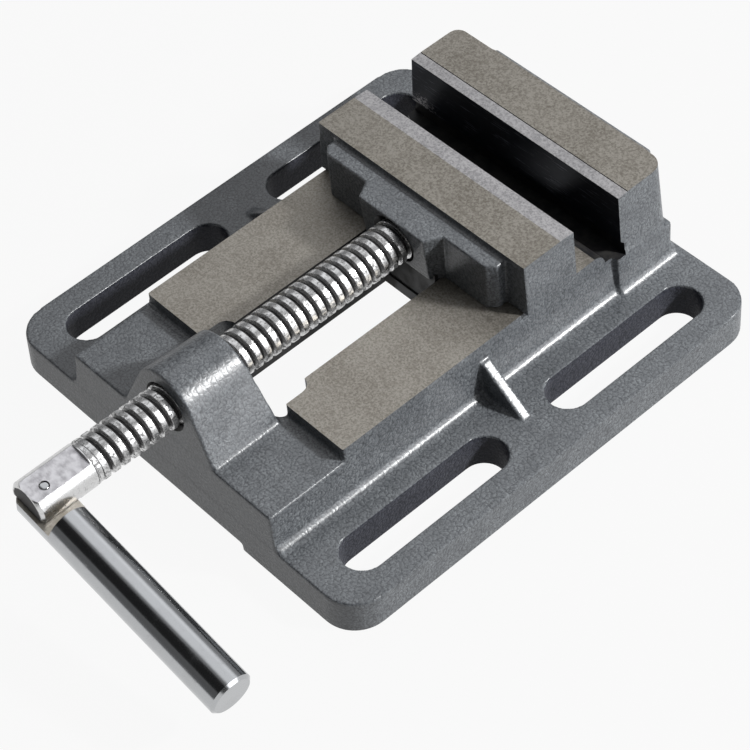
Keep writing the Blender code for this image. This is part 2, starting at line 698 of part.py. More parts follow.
def keeper_fasteners(where, tools):
    """Make the four hexagon screws and their washers, each an object of its own."""
    top = head_top()
    low = top - FASTENER_HEAD_HEIGHT
    for number, place in enumerate(fastener_places(), 1):
        radii = (FASTENER_HEAD_RADIUS, FASTENER_HEAD_RADIUS)
        screw = rod(f"keeper_screw_{number}", radii, place, low, top, "Z", where, 6)
        radii = (FASTENER_RADIUS, FASTENER_RADIUS)
        end = top + FASTENER_LENGTH
        start = top - FASTENER_HEAD_HEIGHT / 2
        stem = rod(f"stem_{number}", radii, place, start, end, "Z", tools, SMALL_ROUND_SEGMENTS)
        combine(screw, stem, "UNION")
        finish(screw, "zinc_plated_steel")
        radii = (WASHER_RADIUS, WASHER_RADIUS)
        seat = KEEPER_BOTTOM - RUNNING_GAP
        washer = rod(f"keeper_washer_{number}", radii, place, seat - WASHER_THICKNESS, seat, "Z", where)
        radii = (FASTENER_RADIUS + RUNNING_GAP, FASTENER_RADIUS + RUNNING_GAP)
        name = f"washer_hole_{number}"
        start = seat - WASHER_THICKNESS - OVERRUN
        hole = rod(name, radii, place, start, seat + OVERRUN, "Z", tools, SMALL_ROUND_SEGMENTS)
        combine(washer, hole, "DIFFERENCE")
        finish(washer, "zinc_plated_steel")
        yield screw
        yield washer


def retaining_pins(where):
    """Make the two upright pins that run in the groove of the screw's nose."""
    radii = (RETAINING_PIN_RADIUS, RETAINING_PIN_RADIUS)
    low = RAIL_UNDERSIDE + RUNNING_GAP
    for side, x in (("left", -RETAINING_PIN_X), ("right", RETAINING_PIN_X)):
        name = f"retaining_pin_{side}"
        place = (x, RETAINING_PIN_Y)
        pin = rod(name, radii, place, low, RETAINING_PIN_TOP, "Z", where, SMALL_ROUND_SEGMENTS)
        finish(pin, "bright_steel")
        yield pin


# Lead screw, in a frame with its origin at the thrust shoulder and +Y along its axis
def thread(where):
    """Make the trapezoidal thread as a helical band of faces, cut square at both ends."""
    shape = bmesh.new()
    radii = (THREAD_ROOT_RADIUS, THREAD_ROOT_RADIUS, THREAD_RADIUS, THREAD_RADIUS)
    steps = len(radii)
    turns = int(THREAD_LENGTH / THREAD_PITCH) + 4
    start = -THREAD_LENGTH - 2 * THREAD_PITCH
    columns = []
    for column in range(THREAD_COLUMNS):
        share = column / THREAD_COLUMNS
        angle = 2 * pi * share
        points = []
        for row in range(turns * steps):
            turn, place = divmod(row, steps)
            y = start + THREAD_PITCH * (turn + THREAD_PROFILE_SHARES[place] + share)
            points.append(shape.verts.new((radii[place] * sin(angle), y, radii[place] * cos(angle))))
        columns.append(points)
    for number, near in enumerate(columns):
        last = number == THREAD_COLUMNS - 1
        far = columns[0][steps:] if last else columns[number + 1]
        for row in range(len(far) - 1):
            shape.faces.new((near[row], near[row + 1], far[row + 1], far[row]))
    for place, outward in ((-THREAD_LENGTH, -1), (0, 1)):
        everything = shape.verts[:] + shape.edges[:] + shape.faces[:]
        cut = bmesh.ops.bisect_plane(
            shape, geom=everything, plane_co=(0, place, 0), plane_no=(0, outward, 0), clear_outer=True
        )
        rim = [item for item in cut["geom_cut"] if isinstance(item, bmesh.types.BMEdge)]
        bmesh.ops.contextual_create(shape, geom=rim)
    return new_object("lead_screw", mesh_from("lead_screw", shape), where)


def lead_screw(where, tools):
    """Make the lead screw with its lapped outer end and its grooved nose."""
    piece = thread(where)
    shank = [
        (0, -THREAD_LENGTH + SINK),
        (SHANK_RADIUS, -THREAD_LENGTH + SINK),
        (SHANK_RADIUS, SCREW_END + SHANK_CHAMFER),
        (SHANK_RADIUS - SHANK_CHAMFER, SCREW_END),
        (0, SCREW_END),
    ]
    middle = NOSE_GROOVE_ALONG
    half_groove = RETAINING_PIN_RADIUS + RUNNING_GAP
    nose = [
        (0, NOSE_LENGTH),
        (NOSE_RADIUS, NOSE_LENGTH),
        (NOSE_RADIUS, middle + half_groove),
        (NOSE_GROOVE_RADIUS, middle + half_groove),
        (NOSE_GROOVE_RADIUS, middle - half_groove),
        (NOSE_RADIUS, middle - half_groove),
        (NOSE_RADIUS, -SINK),
        (0, -SINK),
    ]
    for name, profile in (("shank", shank), ("nose", nose)):
        combine(piece, turned(name, profile, "Y", tools), "UNION")
    reach = SHANK_RADIUS + OVERRUN
    low = (-reach, SCREW_END - OVERRUN, SHANK_FLAT_HEIGHT)
    high = (reach, SCREW_END + SHANK_FLAT_LENGTH, reach)
    combine(piece, box("shank_flat", low, high, tools), "DIFFERENCE")
    low = (-reach, SCREW_END - OVERRUN, -reach)
    high = (reach, SCREW_END + LAP_LENGTH, CHEEK_UNDERSIDE)
    combine(piece, box("lap_space", low, high, tools), "DIFFERENCE")
    bore = HINGE_PIN_RADIUS + RUNNING_GAP
    place = (HINGE_OFFSET, HINGE_Y)
    hole = rod("cheek_hole", (bore, bore), place, -reach, reach, "Z", tools, SMALL_ROUND_SEGMENTS)
    combine(piece, hole, "DIFFERENCE")
    finish(piece, "zinc_plated_steel")
    return piece


def handle_pin(where):
    """Make the hinge pin, flush with the flat, with its head under the handle's tongue."""
    head = HANDLE_CENTRE + TONGUE_BOTTOM - RUNNING_GAP
    profile = [
        (0, SHANK_FLAT_HEIGHT - RUNNING_GAP / 3),
        (HINGE_PIN_RADIUS, SHANK_FLAT_HEIGHT - RUNNING_GAP / 3),
        (HINGE_PIN_RADIUS, head),
        (HINGE_PIN_HEAD_RADIUS, head),
        (HINGE_PIN_HEAD_RADIUS, head - HINGE_PIN_HEAD_HEIGHT),
        (0, head - HINGE_PIN_HEAD_HEIGHT),
    ]
    piece = turned("handle_pin", profile, "Z", where, SMALL_ROUND_SEGMENTS)
    piece.location = (HINGE_OFFSET, HINGE_Y, 0)
    finish(piece, "bright_steel")
    return piece


# Handle, in a frame with its origin on the hinge axis and +X along the bar
def handle_bar(where, tools):
    """Make the round bar, with the thin tongue that lies under the screw's cheek."""
    profile = [
        (0, HANDLE_LENGTH),
        (HANDLE_RADIUS - HANDLE_CHAMFER, HANDLE_LENGTH),
        (HANDLE_RADIUS, HANDLE_LENGTH - HANDLE_CHAMFER),
        (HANDLE_RADIUS, -HANDLE_END_RADIUS - OVERRUN),
        (0, -HANDLE_END_RADIUS - OVERRUN),
    ]
    piece = turned("handle_bar", profile, "X", where)
    reach = HANDLE_RADIUS + OVERRUN
    end = -HANDLE_END_RADIUS - 2 * OVERRUN
    high = (HANDLE_SHOULDER, reach, reach)
    combine(piece, box("tongue_top", (end, -reach, TONGUE_TOP_RISE), high, tools), "DIFFERENCE")
    high = (HANDLE_SHOULDER, reach, TONGUE_BOTTOM)
    combine(piece, box("tongue_underside", (end, -reach, -reach), high, tools), "DIFFERENCE")
    outline = arc((0, 0), HANDLE_END_RADIUS, 90, 270, 4 * CORNER_STEPS)
    outline += [(HANDLE_LENGTH + OVERRUN, -HANDLE_END_RADIUS), (HANDLE_LENGTH + OVERRUN, HANDLE_END_RADIUS)]
    combine(piece, prism("tongue_round", outline, -reach, reach, "Z", tools), "INTERSECT")
    bore = HINGE_PIN_RADIUS + RUNNING_GAP
    hole = rod("tongue_hole", (bore, bore), (0, 0), -reach, reach, "Z", tools, SMALL_ROUND_SEGMENTS)
    combine(piece, hole, "DIFFERENCE")
    finish(piece, "bright_steel")
    return piece


def main():
    """Build the vise with the jaws apart and the handle folded to the right."""
    clear_scene()
    parts = new_collection("drill_press_vise")
    tools = new_collection("cutters")
    base_casting(parts, tools)
    slide = joint_empty("jaw_slide", (0, 0, 0), 0, None, parts)
    turn = joint_empty("screw_turn", (0, SHOULDER, SCREW_HEIGHT), SCREW_REST_TURN, slide, parts)
    hinge = (HINGE_OFFSET, HINGE_Y, HANDLE_CENTRE)
    fold = joint_empty("handle_fold", hinge, 0, turn, parts)
    attach(moving_jaw(parts, tools), slide)
    attach(keeper_plate(parts, tools), slide)
    for piece in (*keeper_fasteners(parts, tools), *retaining_pins(parts)):
        attach(piece, slide)
    attach(lead_screw(parts, tools), turn)
    attach(handle_pin(parts), turn)
    attach(handle_bar(parts, tools), fold)


main()
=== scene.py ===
"""Looks of a drill press vise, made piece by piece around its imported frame.

Each casting is shaped with an allowance on the faces that a machinist would cut. It is softened as a
sand mould softens it, and then milled, so that its ground faces keep crisp edges. The screw and the
handle are turned, threaded and milled. Lengths are in metres. +X is to the right as seen from the
handle, +Y runs from the handle to the fixed jaw, and +Z is up.
"""
import sys
import json
import logging
from collections.abc import Callable, Sequence
from dataclasses import dataclass
from enum import Enum
from math import cos, pi, radians, sin

import bmesh
import bpy
from mathutils import Matrix, Vector


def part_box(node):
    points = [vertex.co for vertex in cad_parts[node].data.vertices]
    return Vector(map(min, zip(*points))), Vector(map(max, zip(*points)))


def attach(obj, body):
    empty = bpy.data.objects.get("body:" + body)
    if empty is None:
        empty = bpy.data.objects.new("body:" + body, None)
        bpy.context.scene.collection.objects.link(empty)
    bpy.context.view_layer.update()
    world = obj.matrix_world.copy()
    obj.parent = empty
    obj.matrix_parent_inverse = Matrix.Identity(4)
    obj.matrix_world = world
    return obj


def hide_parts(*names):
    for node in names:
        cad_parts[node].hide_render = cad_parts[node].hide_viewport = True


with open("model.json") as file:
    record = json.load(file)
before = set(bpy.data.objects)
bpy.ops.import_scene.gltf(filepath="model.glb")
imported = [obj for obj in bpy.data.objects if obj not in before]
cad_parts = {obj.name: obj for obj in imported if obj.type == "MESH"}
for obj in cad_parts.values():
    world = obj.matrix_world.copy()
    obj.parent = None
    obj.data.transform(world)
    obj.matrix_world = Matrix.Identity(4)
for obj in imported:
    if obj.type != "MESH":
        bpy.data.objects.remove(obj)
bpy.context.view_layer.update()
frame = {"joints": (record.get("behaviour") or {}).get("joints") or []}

Colour = tuple[float, float, float]
Point = tuple[float, float]
Place = tuple[float, float, float]
Socket = bpy.types.NodeSocket

log = logging.getLogger("drill_press_vise")

# How far a cutter reaches past the metal, and how far joined shapes reach into each other.
OVERRUN = 0.003
SINK = 0.002
# Clearance between pieces, and the metal that a casting has to spare where it is milled.
RUNNING_GAP = 0.0003
MILLING_ALLOWANCE = 0.0012
# Chords in a round corner, and facets round a turned, a fine and a small piece.
CORNER_STEPS = 12
TURNED_FACETS = 96
FINE_FACETS = 128
SMALL_FACETS = 48
# A fillet starts at this angle, eight degrees short of the flat, so that it has no feather edge.
FILLET_START = 262
# How strongly each smoothing pass evens out a casting.
SMOOTHING = 0.5
IDENTITY = Matrix.Identity(4)
FASTENERS = range(1, 5)
SIDES = ("left", "right")


class Axis(Enum):
    """Axis that a flat outline is laid square to."""

    X = "x"
    Y = "y"
    Z = "z"

    def turn(self) -> Matrix:
        """Return the turn that lays an outline square to this axis."""
        if self is Axis.X:
            return Matrix(((0, 0, 1, 0), (1, 0, 0, 0), (0, 1, 0, 0), (0, 0, 0, 1)))
        if self is Axis.Y:
            return Matrix(((1, 0, 0, 0), (0, 0, 1, 0), (0, 1, 0, 0), (0, 0, 0, 1)))
        return IDENTITY

    def stretch(self, share: float) -> Place:
        """Return the shares that stretch a pattern along this axis only."""
        return tuple(share if axis is self else 1.0 for axis in Axis)


class Operation(Enum):
    """How one shape works on another."""

    JOIN = "UNION"
    CUT = "DIFFERENCE"
    KEEP = "INTERSECT"


def arc(
    centre: Point, radius: float, first: float, last: float,
    steps: int = CORNER_STEPS, height: float | None = None,
) -> list[Point]:
    """Make the points of an arc.

    Args:
        centre: Middle of the arc.
        radius: Its radius across.
        first: Angle of the first point in degrees.
        last: Angle of the last point in degrees.
        steps: How many chords it has.
        height: Its radius upwards, where that isn't the same.

    Returns:
        The points, both ends included.
    """
    height = radius if height is None else height
    angles = [radians(first + (last - first) * step / steps) for step in range(steps + 1)]
    return [(centre[0] + radius * cos(a), centre[1] + height * sin(a)) for a in angles]


def rounded_rectangle(left: float, near: float, right: float, far: float, radius: float) -> list[Point]:
    """Make the outline of a rectangle with round corners.

    Args:
        left: Lowest place across.
        near: Lowest place along.
        right: Highest place across.
        far: Highest place along.
        radius: Radius of the corners.

    Returns:
        The outline's points.
    """
    corners = (
        ((right - radius, far - radius), 0),
        ((left + radius, far - radius), 90),
        ((left + radius, near + radius), 180),
        ((right - radius, near + radius), 270),
    )
    return [point for centre, first in corners for point in arc(centre, radius, first, first + 90)]


def mirrored(right: Sequence[Point]) -> list[Point]:
    """Return an outline made of a right half and its mirror image."""
    return list(right) + [(-across, up) for across, up in reversed(right)]


class Workpiece:
    """A mesh on the bench: shapes are joined, cut, softened and dressed until it is a finished piece."""

    def __init__(self, name: str, shape: bmesh.types.BMesh, dense: bool = False) -> None:
        """Take an edited shape as the work's first mesh.

        Args:
            name: Name of the piece.
            shape: The shape, which is used up.
            dense: Whether it has so many faces that a faster way to cut it is taken.
        """
        bmesh.ops.recalc_face_normals(shape, faces=shape.faces)
        mesh = bpy.data.meshes.new(name)
        shape.to_mesh(mesh)
        shape.free()
        self.object = bpy.data.objects.new(name, mesh)
        self.dense = dense
        bpy.context.scene.collection.objects.link(self.object)

    @classmethod
    def prism(
        cls, name: str, outline: Sequence[Point], start: float, end: float,
        axis: Axis = Axis.Z, faces: Sequence[int] = (),
    ) -> "Workpiece":
        """Extrude a flat outline along an axis.

        Args:
            name: Name of the shape.
            outline: Points in (y, z) along X, in (x, z) along Y and in (x, y) along Z.
            start: Where it starts along the axis.
            end: Where it ends.
            axis: The axis.
            faces: The number of the finish on the side after each point, or nothing for the first.

        Returns:
            The new shape.
        """
        shape = bmesh.new()
        low = [shape.verts.new((across, up, start)) for across, up in outline]
        high = [shape.verts.new((across, up, end)) for across, up in outline]
        shape.faces.new(low)
        shape.faces.new(high)
        for number in range(len(outline)):
            after = (number + 1) % len(outline)
            side = shape.faces.new((low[number], low[after], high[after], high[number]))
            side.material_index = faces[number] if faces else 0
        shape.transform(axis.turn())
        return cls(name, shape)

    @classmethod
    def box(cls, name: str, low: Place, high: Place, finish: int = 0) -> "Workpiece":
        """Make a box between two corners, with the number of its finish."""
        shape = bmesh.new()
        size = Vector(high) - Vector(low)
        middle = Matrix.Translation((Vector(high) + Vector(low)) / 2)
        bmesh.ops.create_cube(shape, size=1, matrix=middle @ Matrix.Diagonal((*size, 1)))
        for face in shape.faces:
            face.material_index = finish
        return cls(name, shape)

    @classmethod
    def lathe(
        cls, name: str, profile: Sequence[Point], axis: Axis, centre: Point = (0, 0),
        segments: int = TURNED_FACETS, finish: int = 0,
    ) -> "Workpiece":
        """Turn a profile that starts and ends on its axis.

        Args:
            name: Name of the shape.
            profile: Points as (radius, place along the axis).
            axis: The axis.
            centre: Where the axis lies, in the order of a prism's outline.
            segments: How many facets go round.
            finish: Number of its finish.

        Returns:
            The new shape.
        """
        shape = bmesh.new()
        rings = []
        for radius, along in profile:
            count = segments if radius > 0 else 1
            angles = [2 * pi * step / segments for step in range(count)]
            rings.append([shape.verts.new((radius * cos(a), radius * sin(a), along)) for a in angles])
        for near, far in zip(rings, rings[1:]):
            for step in range(segments):
                after = (step + 1) % segments
                corners = (
                    near[step % len(near)], near[after % len(near)],
                    far[after % len(far)], far[step % len(far)],
                )
                face = shape.faces.new(dict.fromkeys(corners))
                face.material_index = finish
        shape.transform(axis.turn() @ Matrix.Translation((centre[0], centre[1], 0)))
        return cls(name, shape)

    @classmethod
    def rod(
        cls, name: str, radius: float, start: float, end: float, axis: Axis,
        centre: Point = (0, 0), chamfer: float = 0, segments: int = SMALL_FACETS, finish: int = 0,
    ) -> "Workpiece":
        """Turn a plain rod with a chamfer at each end.

        Args:
            name: Name of the shape.
            radius: The rod's radius.
            start: Where it starts along the axis.
            end: Where it ends.
            axis: The axis.
            centre: Where the axis lies.
            chamfer: Size of the chamfers.
            segments: How many facets go round.
            finish: Number of its finish.

        Returns:
            The new shape.
        """
        low = [(radius - chamfer, start), (radius, start + chamfer)] if chamfer else [(radius, start)]
        high = [(radius, end - chamfer), (radius - chamfer, end)] if chamfer else [(radius, end)]
        return cls.lathe(name, [(0, start), *low, *high, (0, end)], axis, centre, segments, finish)

    def _apply(self) -> None:
        """Turn what the modifiers make of the mesh into the mesh itself."""
        bpy.context.view_layer.update()
        depsgraph = bpy.context.evaluated_depsgraph_get()
        made = bpy.data.meshes.new_from_object(self.object.evaluated_get(depsgraph))
        old = self.object.data
        self.object.modifiers.clear()
        self.object.data = made
        bpy.data.meshes.remove(old)

    def _work(self, other: "Workpiece", operation: Operation) -> "Workpiece":
        """Join, cut or keep another shape, which is used up."""
        modifier = self.object.modifiers.new(operation.name, "BOOLEAN")
        modifier.operation = operation.value
        modifier.solver = "MANIFOLD" if self.dense else "EXACT"
        modifier.object = other.object
        self._apply()
        mesh = other.object.data
        bpy.data.objects.remove(other.object, do_unlink=True)
        bpy.data.meshes.remove(mesh)
        return self

    def join(self, *others: "Workpiece") -> "Workpiece":
        """Fuse other shapes to this one."""
        for other in others:
            self._work(other, Operation.JOIN)
        return self

    def cut(self, *others: "Workpiece") -> "Workpiece":
        """Cut other shapes out of this one."""
        for other in others:
            self._work(other, Operation.CUT)
        return self

    def keep(self, other: "Workpiece") -> "Workpiece":
        """Keep only what this shape and another share."""
        return self._work(other, Operation.KEEP)

    def reshape(self, move: Callable[[float, float, float], Place]) -> "Workpiece":
        """Replace each point by what a function makes of it."""
        for vertex in self.object.data.vertices:
            vertex.co = move(*vertex.co)
        return self

    def cast(self, grain: float, passes: int) -> "Workpiece":
        """Soften every edge as a sand mould does.

        Args:
            grain: Size of the grains that the surface is rebuilt from.
            passes: How often the surface is smoothed.

        Returns:
            This workpiece.
        """
        sand = self.object.modifiers.new("sand", "REMESH")
        sand.mode = "VOXEL"
        sand.voxel_size = grain
        flow = self.object.modifiers.new("flow", "SMOOTH")
        flow.factor = SMOOTHING
        flow.iterations = passes
        self._apply()
        self.dense = True
        return self

    def round_edges(self, width: float, steps: int = 2, angle: float = 32) -> "Workpiece":
        """Round the sharp edges.

        Args:
            width: How far each rounding reaches.
            steps: How many facets it has.
            angle: Edges that turn by more degrees than this are rounded.

        Returns:
            This workpiece.
        """
        bevel = self.object.modifiers.new("edges", "BEVEL")
        bevel.width = width
        bevel.segments = steps
        bevel.limit_method = "ANGLE"
        bevel.angle_limit = radians(angle)
        self._apply()
        return self

    def merge_flats(self, angle: float = 0.3) -> "Workpiece":
        """Merge the facets that lie in one plane, within an angle in degrees and within one finish."""
        merge = self.object.modifiers.new("flats", "DECIMATE")
        merge.decimate_type = "DISSOLVE"
        merge.angle_limit = radians(angle)
        merge.delimit = {"MATERIAL"}
        self._apply()
        return self

    def dress(self, *finishes: "Finish") -> "Workpiece":
        """Give the piece its finishes, in the order of their numbers."""
        for finish in finishes:
            self.object.data.materials.append(finish.material())
        return self

    def sort_faces(self, choose: Callable[[Vector, Vector], int | None]) -> "Workpiece":
        """Give faces another finish.

        Args:
            choose: Takes a face's middle and its normal, and returns the number of its finish, or None
                where the face keeps what it has.

        Returns:
            This workpiece.
        """
        for face in self.object.data.polygons:
            number = choose(face.center, face.normal)
            if number is not None:
                face.material_index = number
        return self

    def shade(self, angle: float = 40) -> "Workpiece":
        """Shade round faces smooth, and keep edges crisp that turn by more degrees than the angle."""
        self.object.data.shade_smooth()
        self.object.data.set_sharp_from_angle(angle=radians(angle))
        weighted = self.object.modifiers.new("normals", "WEIGHTED_NORMAL")
        weighted.keep_sharp = True
        self._apply()
        return self

    def hand_over(self, place: Matrix, body: str, slot: str, *nodes: str) -> None:
        """Put the finished piece in the frame.

        Args:
            place: The frame that the piece was made in.
            body: The CAD body that it rides on.
            slot: The record's material slot; not used.
            nodes: The CAD nodes that it stands for.
        """
        self.object.matrix_world = place
        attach(self.object, body)
        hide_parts(*nodes)
        log.info("%s: %d faces, on body %s", self.object.name, len(self.object.data.polygons), body)


@dataclass(frozen=True)
class Cloud:
    """A cloudy pattern: size of its patches in metres, finer layers, their strength and its stretch."""

    size: float
    layers: float = 2
    strength: float = 0.5
    stretch: Place | None = None


@dataclass(frozen=True)
class Band:
    """Two limits that a pattern is read between, and what it gives at each of them."""

    low: float
    high: float
    first: float = 0
    last: float = 1


class Mix(Enum):
    """Kinds of mixes, with the numbers of a mix node's two inputs and of its output."""

    FLOAT = (2, 3, 0)
    RGBA = (6, 7, 2)


class Board:
    """The node board of a material or of the sky, with a short call for each kind of node in use."""

    def __init__(self, owner: bpy.types.Material | bpy.types.World) -> None:
        """Switch on the nodes of a material or of the sky, which start with a plain shader."""
        owner.use_nodes = True
        self.owner = owner
        self.nodes = owner.node_tree.nodes
        self.links = owner.node_tree.links

    def feed(self, node: bpy.types.Node, name: str | int, value: Socket | float | Sequence[float]) -> None:
        """Link a socket to a node's input, or set the input to a value."""
        if isinstance(value, Socket):
            self.links.new(value, node.inputs[name])
        elif isinstance(value, tuple) and node.inputs[name].type == "RGBA":
            node.inputs[name].default_value = (*value, 1)
        else:
            node.inputs[name].default_value = value

    def surface(self, settings: dict[str, Socket | float]) -> None:
        """Feed the inputs of a material's shader by their names."""
        for name, value in settings.items():
            self.feed(self.nodes["Principled BSDF"], name, value)

    def place(self) -> Socket:
        """Return the place on the piece, in metres."""
        return self.nodes.new("ShaderNodeTexCoord").outputs["Object"]

    def part(self, place: Socket, axis: Axis) -> Socket:
        """Return one coordinate of a place."""
        split = self.nodes.new("ShaderNodeSeparateXYZ")
        self.feed(split, 0, place)
        return split.outputs[axis.name]

    def stretch(self, place: Socket, shares: Place) -> Socket:
        """Return a place whose coordinates are multiplied by shares, so that a pattern gets longer."""
        mapping = self.nodes.new("ShaderNodeMapping")
        self.feed(mapping, "Vector", place)
        self.feed(mapping, "Scale", shares)
        return mapping.outputs["Vector"]

    def _cloud(self, place: Socket, cloud: Cloud) -> bpy.types.Node:
        """Return the node of a cloudy pattern."""
        node = self.nodes.new("ShaderNodeTexNoise")
        self.feed(node, "Vector", self.stretch(place, cloud.stretch) if cloud.stretch else place)
        self.feed(node, "Scale", 1 / cloud.size)
        self.feed(node, "Detail", cloud.layers)
        self.feed(node, "Roughness", cloud.strength)
        return node

    def noise(self, place: Socket, cloud: Cloud) -> Socket:
        """Return a cloudy pattern as a value between 0 and 1."""
        return self._cloud(place, cloud).outputs["Fac"]

    def wander(self, place: Socket, cloud: Cloud, reach: float) -> Socket:
        """Return a place that wanders off by up to a reach, as a cloudy pattern leads it."""
        move = self.nodes.new("ShaderNodeVectorMath")
        move.operation = "MULTIPLY_ADD"
        self.feed(move, 0, self._cloud(place, cloud).outputs["Color"])
        self.feed(move, 1, (reach, reach, reach))
        self.feed(move, 2, place)
        return move.outputs["Vector"]

    def cell_edge(self, place: Socket, size: float) -> Socket:
        """Return how far a point lies from the edge of its cell, as a share of the cells' size."""
        cells = self.nodes.new("ShaderNodeTexVoronoi")
        cells.feature = "DISTANCE_TO_EDGE"
        self.feed(cells, "Vector", place)
        self.feed(cells, "Scale", 1 / size)
        return cells.outputs["Distance"]

    def band(self, value: Socket, band: Band) -> Socket:
        """Return a value that goes smoothly from a band's first to its last, between its limits."""
        node = self.nodes.new("ShaderNodeMapRange")
        node.interpolation_type = "SMOOTHSTEP"
        for number, setting in enumerate((value, band.low, band.high, band.first, band.last)):
            self.feed(node, number, setting)
        return node.outputs["Result"]

    def sum(self, operation: str, one: Socket | float, other: Socket | float) -> Socket:
        """Return the result of a sum of two values."""
        node = self.nodes.new("ShaderNodeMath")
        node.operation = operation
        self.feed(node, 0, one)
        self.feed(node, 1, other)
        return node.outputs[0]

    def measure(self, operation: str, one: Socket, other: Sequence[float] | None = None) -> Socket:
        """Return what a sum of vectors gives as one value, such as a length or a distance."""
        node = self.nodes.new("ShaderNodeVectorMath")
        node.operation = operation
        self.feed(node, 0, one)
        if other is not None:
            self.feed(node, 1, other)
        return node.outputs["Value"]

    def _mix(
        self, kind: Mix, share: Socket, none: Socket | float | Colour, full: Socket | float | Colour,
    ) -> Socket:
        """Return a value or a colour between two others."""
        node = self.nodes.new("ShaderNodeMix")
        node.data_type = kind.name
        first, last, result = kind.value
        self.feed(node, 0, share)
        self.feed(node, first, none)
        self.feed(node, last, full)
        return node.outputs[result]

    def between(self, share: Socket, none: Socket | float, full: Socket | float) -> Socket:
        """Return a value between two others."""
        return self._mix(Mix.FLOAT, share, none, full)

    def blend(self, share: Socket, none: Socket | Colour, full: Socket | Colour) -> Socket:
        """Return a colour between two others."""
        return self._mix(Mix.RGBA, share, none, full)

    def relief(self, height: Socket, depth: float, under: Socket | None = None) -> Socket:
        """Return the normals of a relief, laid over another relief where one is given."""
        bump = self.nodes.new("ShaderNodeBump")
        self.feed(bump, "Height", height)
        self.feed(bump, "Distance", depth)
        if under:
            self.feed(bump, "Normal", under)
        return bump.outputs["Normal"]


@dataclass(frozen=True)
class Finish:
    """A surface finish, whose material is made once and shared by every piece that has it."""

    title: str

    def material(self) -> bpy.types.Material:
        """Return the finish's material."""
        found = bpy.data.materials.get(self.title)
        if found:
            return found
        board = Board(bpy.data.materials.new(self.title))
        self.wire(board)
        return board.owner

    def wire(self, board: Board) -> None:
        """Wire the finish's nodes on its board."""
        raise NotImplementedError


@dataclass(frozen=True)
class HammeredEnamel(Finish):
    """Grey enamel that dried in soft mottles, with dark broken outlines between its domes."""

    title: str = "hammered_enamel"
    crest: Colour = (0.190, 0.204, 0.215)
    body: Colour = (0.070, 0.076, 0.084)
    valley: Colour = (0.030, 0.033, 0.038)
    cell: float = 0.0018
    wander: Cloud = Cloud(0.00234)
    wander_reach: float = 0.0014
    mottle: Cloud = Cloud(0.00081, 3, 0.6)
    mottle_light: Band = Band(0.30, 0.70)
    cloud: Cloud = Cloud(0.0054, 3)
    cloud_light: Band = Band(0.25, 0.75, 0.45, 1.0)
    shade: Cloud = Cloud(0.0162)
    shade_light: Band = Band(0.3, 0.7, 0.75, 1.0)
    outline: Band = Band(0.0, 0.12, 0.9, 0.0)
    outline_break: Band = Band(0.40, 0.66, 1.0, 0.25)
    fleck: Cloud = Cloud(0.000324, 3, 0.6)
    pit: Band = Band(0.64, 0.76, 0.0, 0.6)
    gloss: Band = Band(0.3, 0.7, 0.34, 0.50)
    dome: Band = Band(0.0, 0.35)
    relief: float = 0.00008
    coat_relief: float = 0.000025
    specular: float = 0.10
    coat: float = 0.32
    coat_index: float = 2.5
    coat_roughness: float = 0.34

    def wire(self, board: Board) -> None:
        """Wire mottles at three sizes, broken outlines, pits, the domes and a clear coat."""
        place = board.place()
        edge = board.cell_edge(board.wander(place, self.wander, self.wander_reach), self.cell)
        mottle = board.noise(place, self.mottle)
        fleck = board.noise(place, self.fleck)
        cloud = board.band(board.noise(place, self.cloud), self.cloud_light)
        shade = board.band(board.noise(place, self.shade), self.shade_light)
        light = board.sum("MULTIPLY", board.band(mottle, self.mottle_light), cloud)
        enamel = board.blend(board.sum("MULTIPLY", light, shade), self.body, self.crest)
        broken = board.band(mottle, self.outline_break)
        outline = board.sum("MULTIPLY", board.band(edge, self.outline), broken)
        dark = board.sum("MAXIMUM", outline, board.band(fleck, self.pit))
        dome = board.band(edge, self.dome)
        board.surface({
            "Base Color": board.blend(dark, enamel, self.valley),
            "Specular IOR Level": self.specular,
            "Roughness": board.band(fleck, self.gloss),
            "Coat Weight": self.coat,
            "Coat IOR": self.coat_index,
            "Coat Roughness": self.coat_roughness,
            "Coat Normal": board.relief(dome, self.coat_relief),
            "Normal": board.relief(mottle, self.relief, board.relief(dome, self.relief)),
        })


@dataclass(frozen=True)
class GroundIron(Finish):
    """Bare cast iron, ground flat, with the open grain of the iron and brown stains."""

    title: str = "ground_iron"
    colour: Colour = (0.372, 0.350, 0.312)
    stain: Colour = (0.215, 0.196, 0.168)
    grain: Cloud = Cloud(0.0008, 3, 0.65)
    grain_wear: Band = Band(0.34, 0.60)
    grain_relief: float = 0.000014
    patch: Cloud = Cloud(0.0017, 4, 0.65)
    patch_wear: Band = Band(0.26, 0.60, 0.15, 1.0)
    patch_relief: float = 0.00003
    cloud: Cloud = Cloud(0.016, 3)
    cloud_wear: Band = Band(0.35, 0.65, -0.06, 0.18)
    pores: Cloud = Cloud(0.0007, 3, 0.7)
    pore_share: Band = Band(0.68, 0.76)
    gloss: Band = Band(0.2, 0.8, 0.42, 0.56)
    metallic: float = 0.75

    def wire(self, board: Board) -> None:
        """Wire the grain, the stains and a few open pores."""
        place = board.place()
        grain = board.noise(place, self.grain)
        patch = board.noise(place, self.patch)
        cloud = board.band(board.noise(place, self.cloud), self.cloud_wear)
        pores = board.band(board.noise(place, self.pores), self.pore_share)
        worn = board.sum("MULTIPLY", board.band(grain, self.grain_wear), board.band(patch, self.patch_wear))
        worn = board.between(pores, board.sum("ADD", worn, cloud), 0.0)
        board.surface({
            "Base Color": board.blend(worn, self.stain, self.colour),
            "Metallic": self.metallic,
            "Roughness": board.band(patch, self.gloss),
            "Normal": board.relief(patch, self.patch_relief, board.relief(grain, self.grain_relief)),
        })


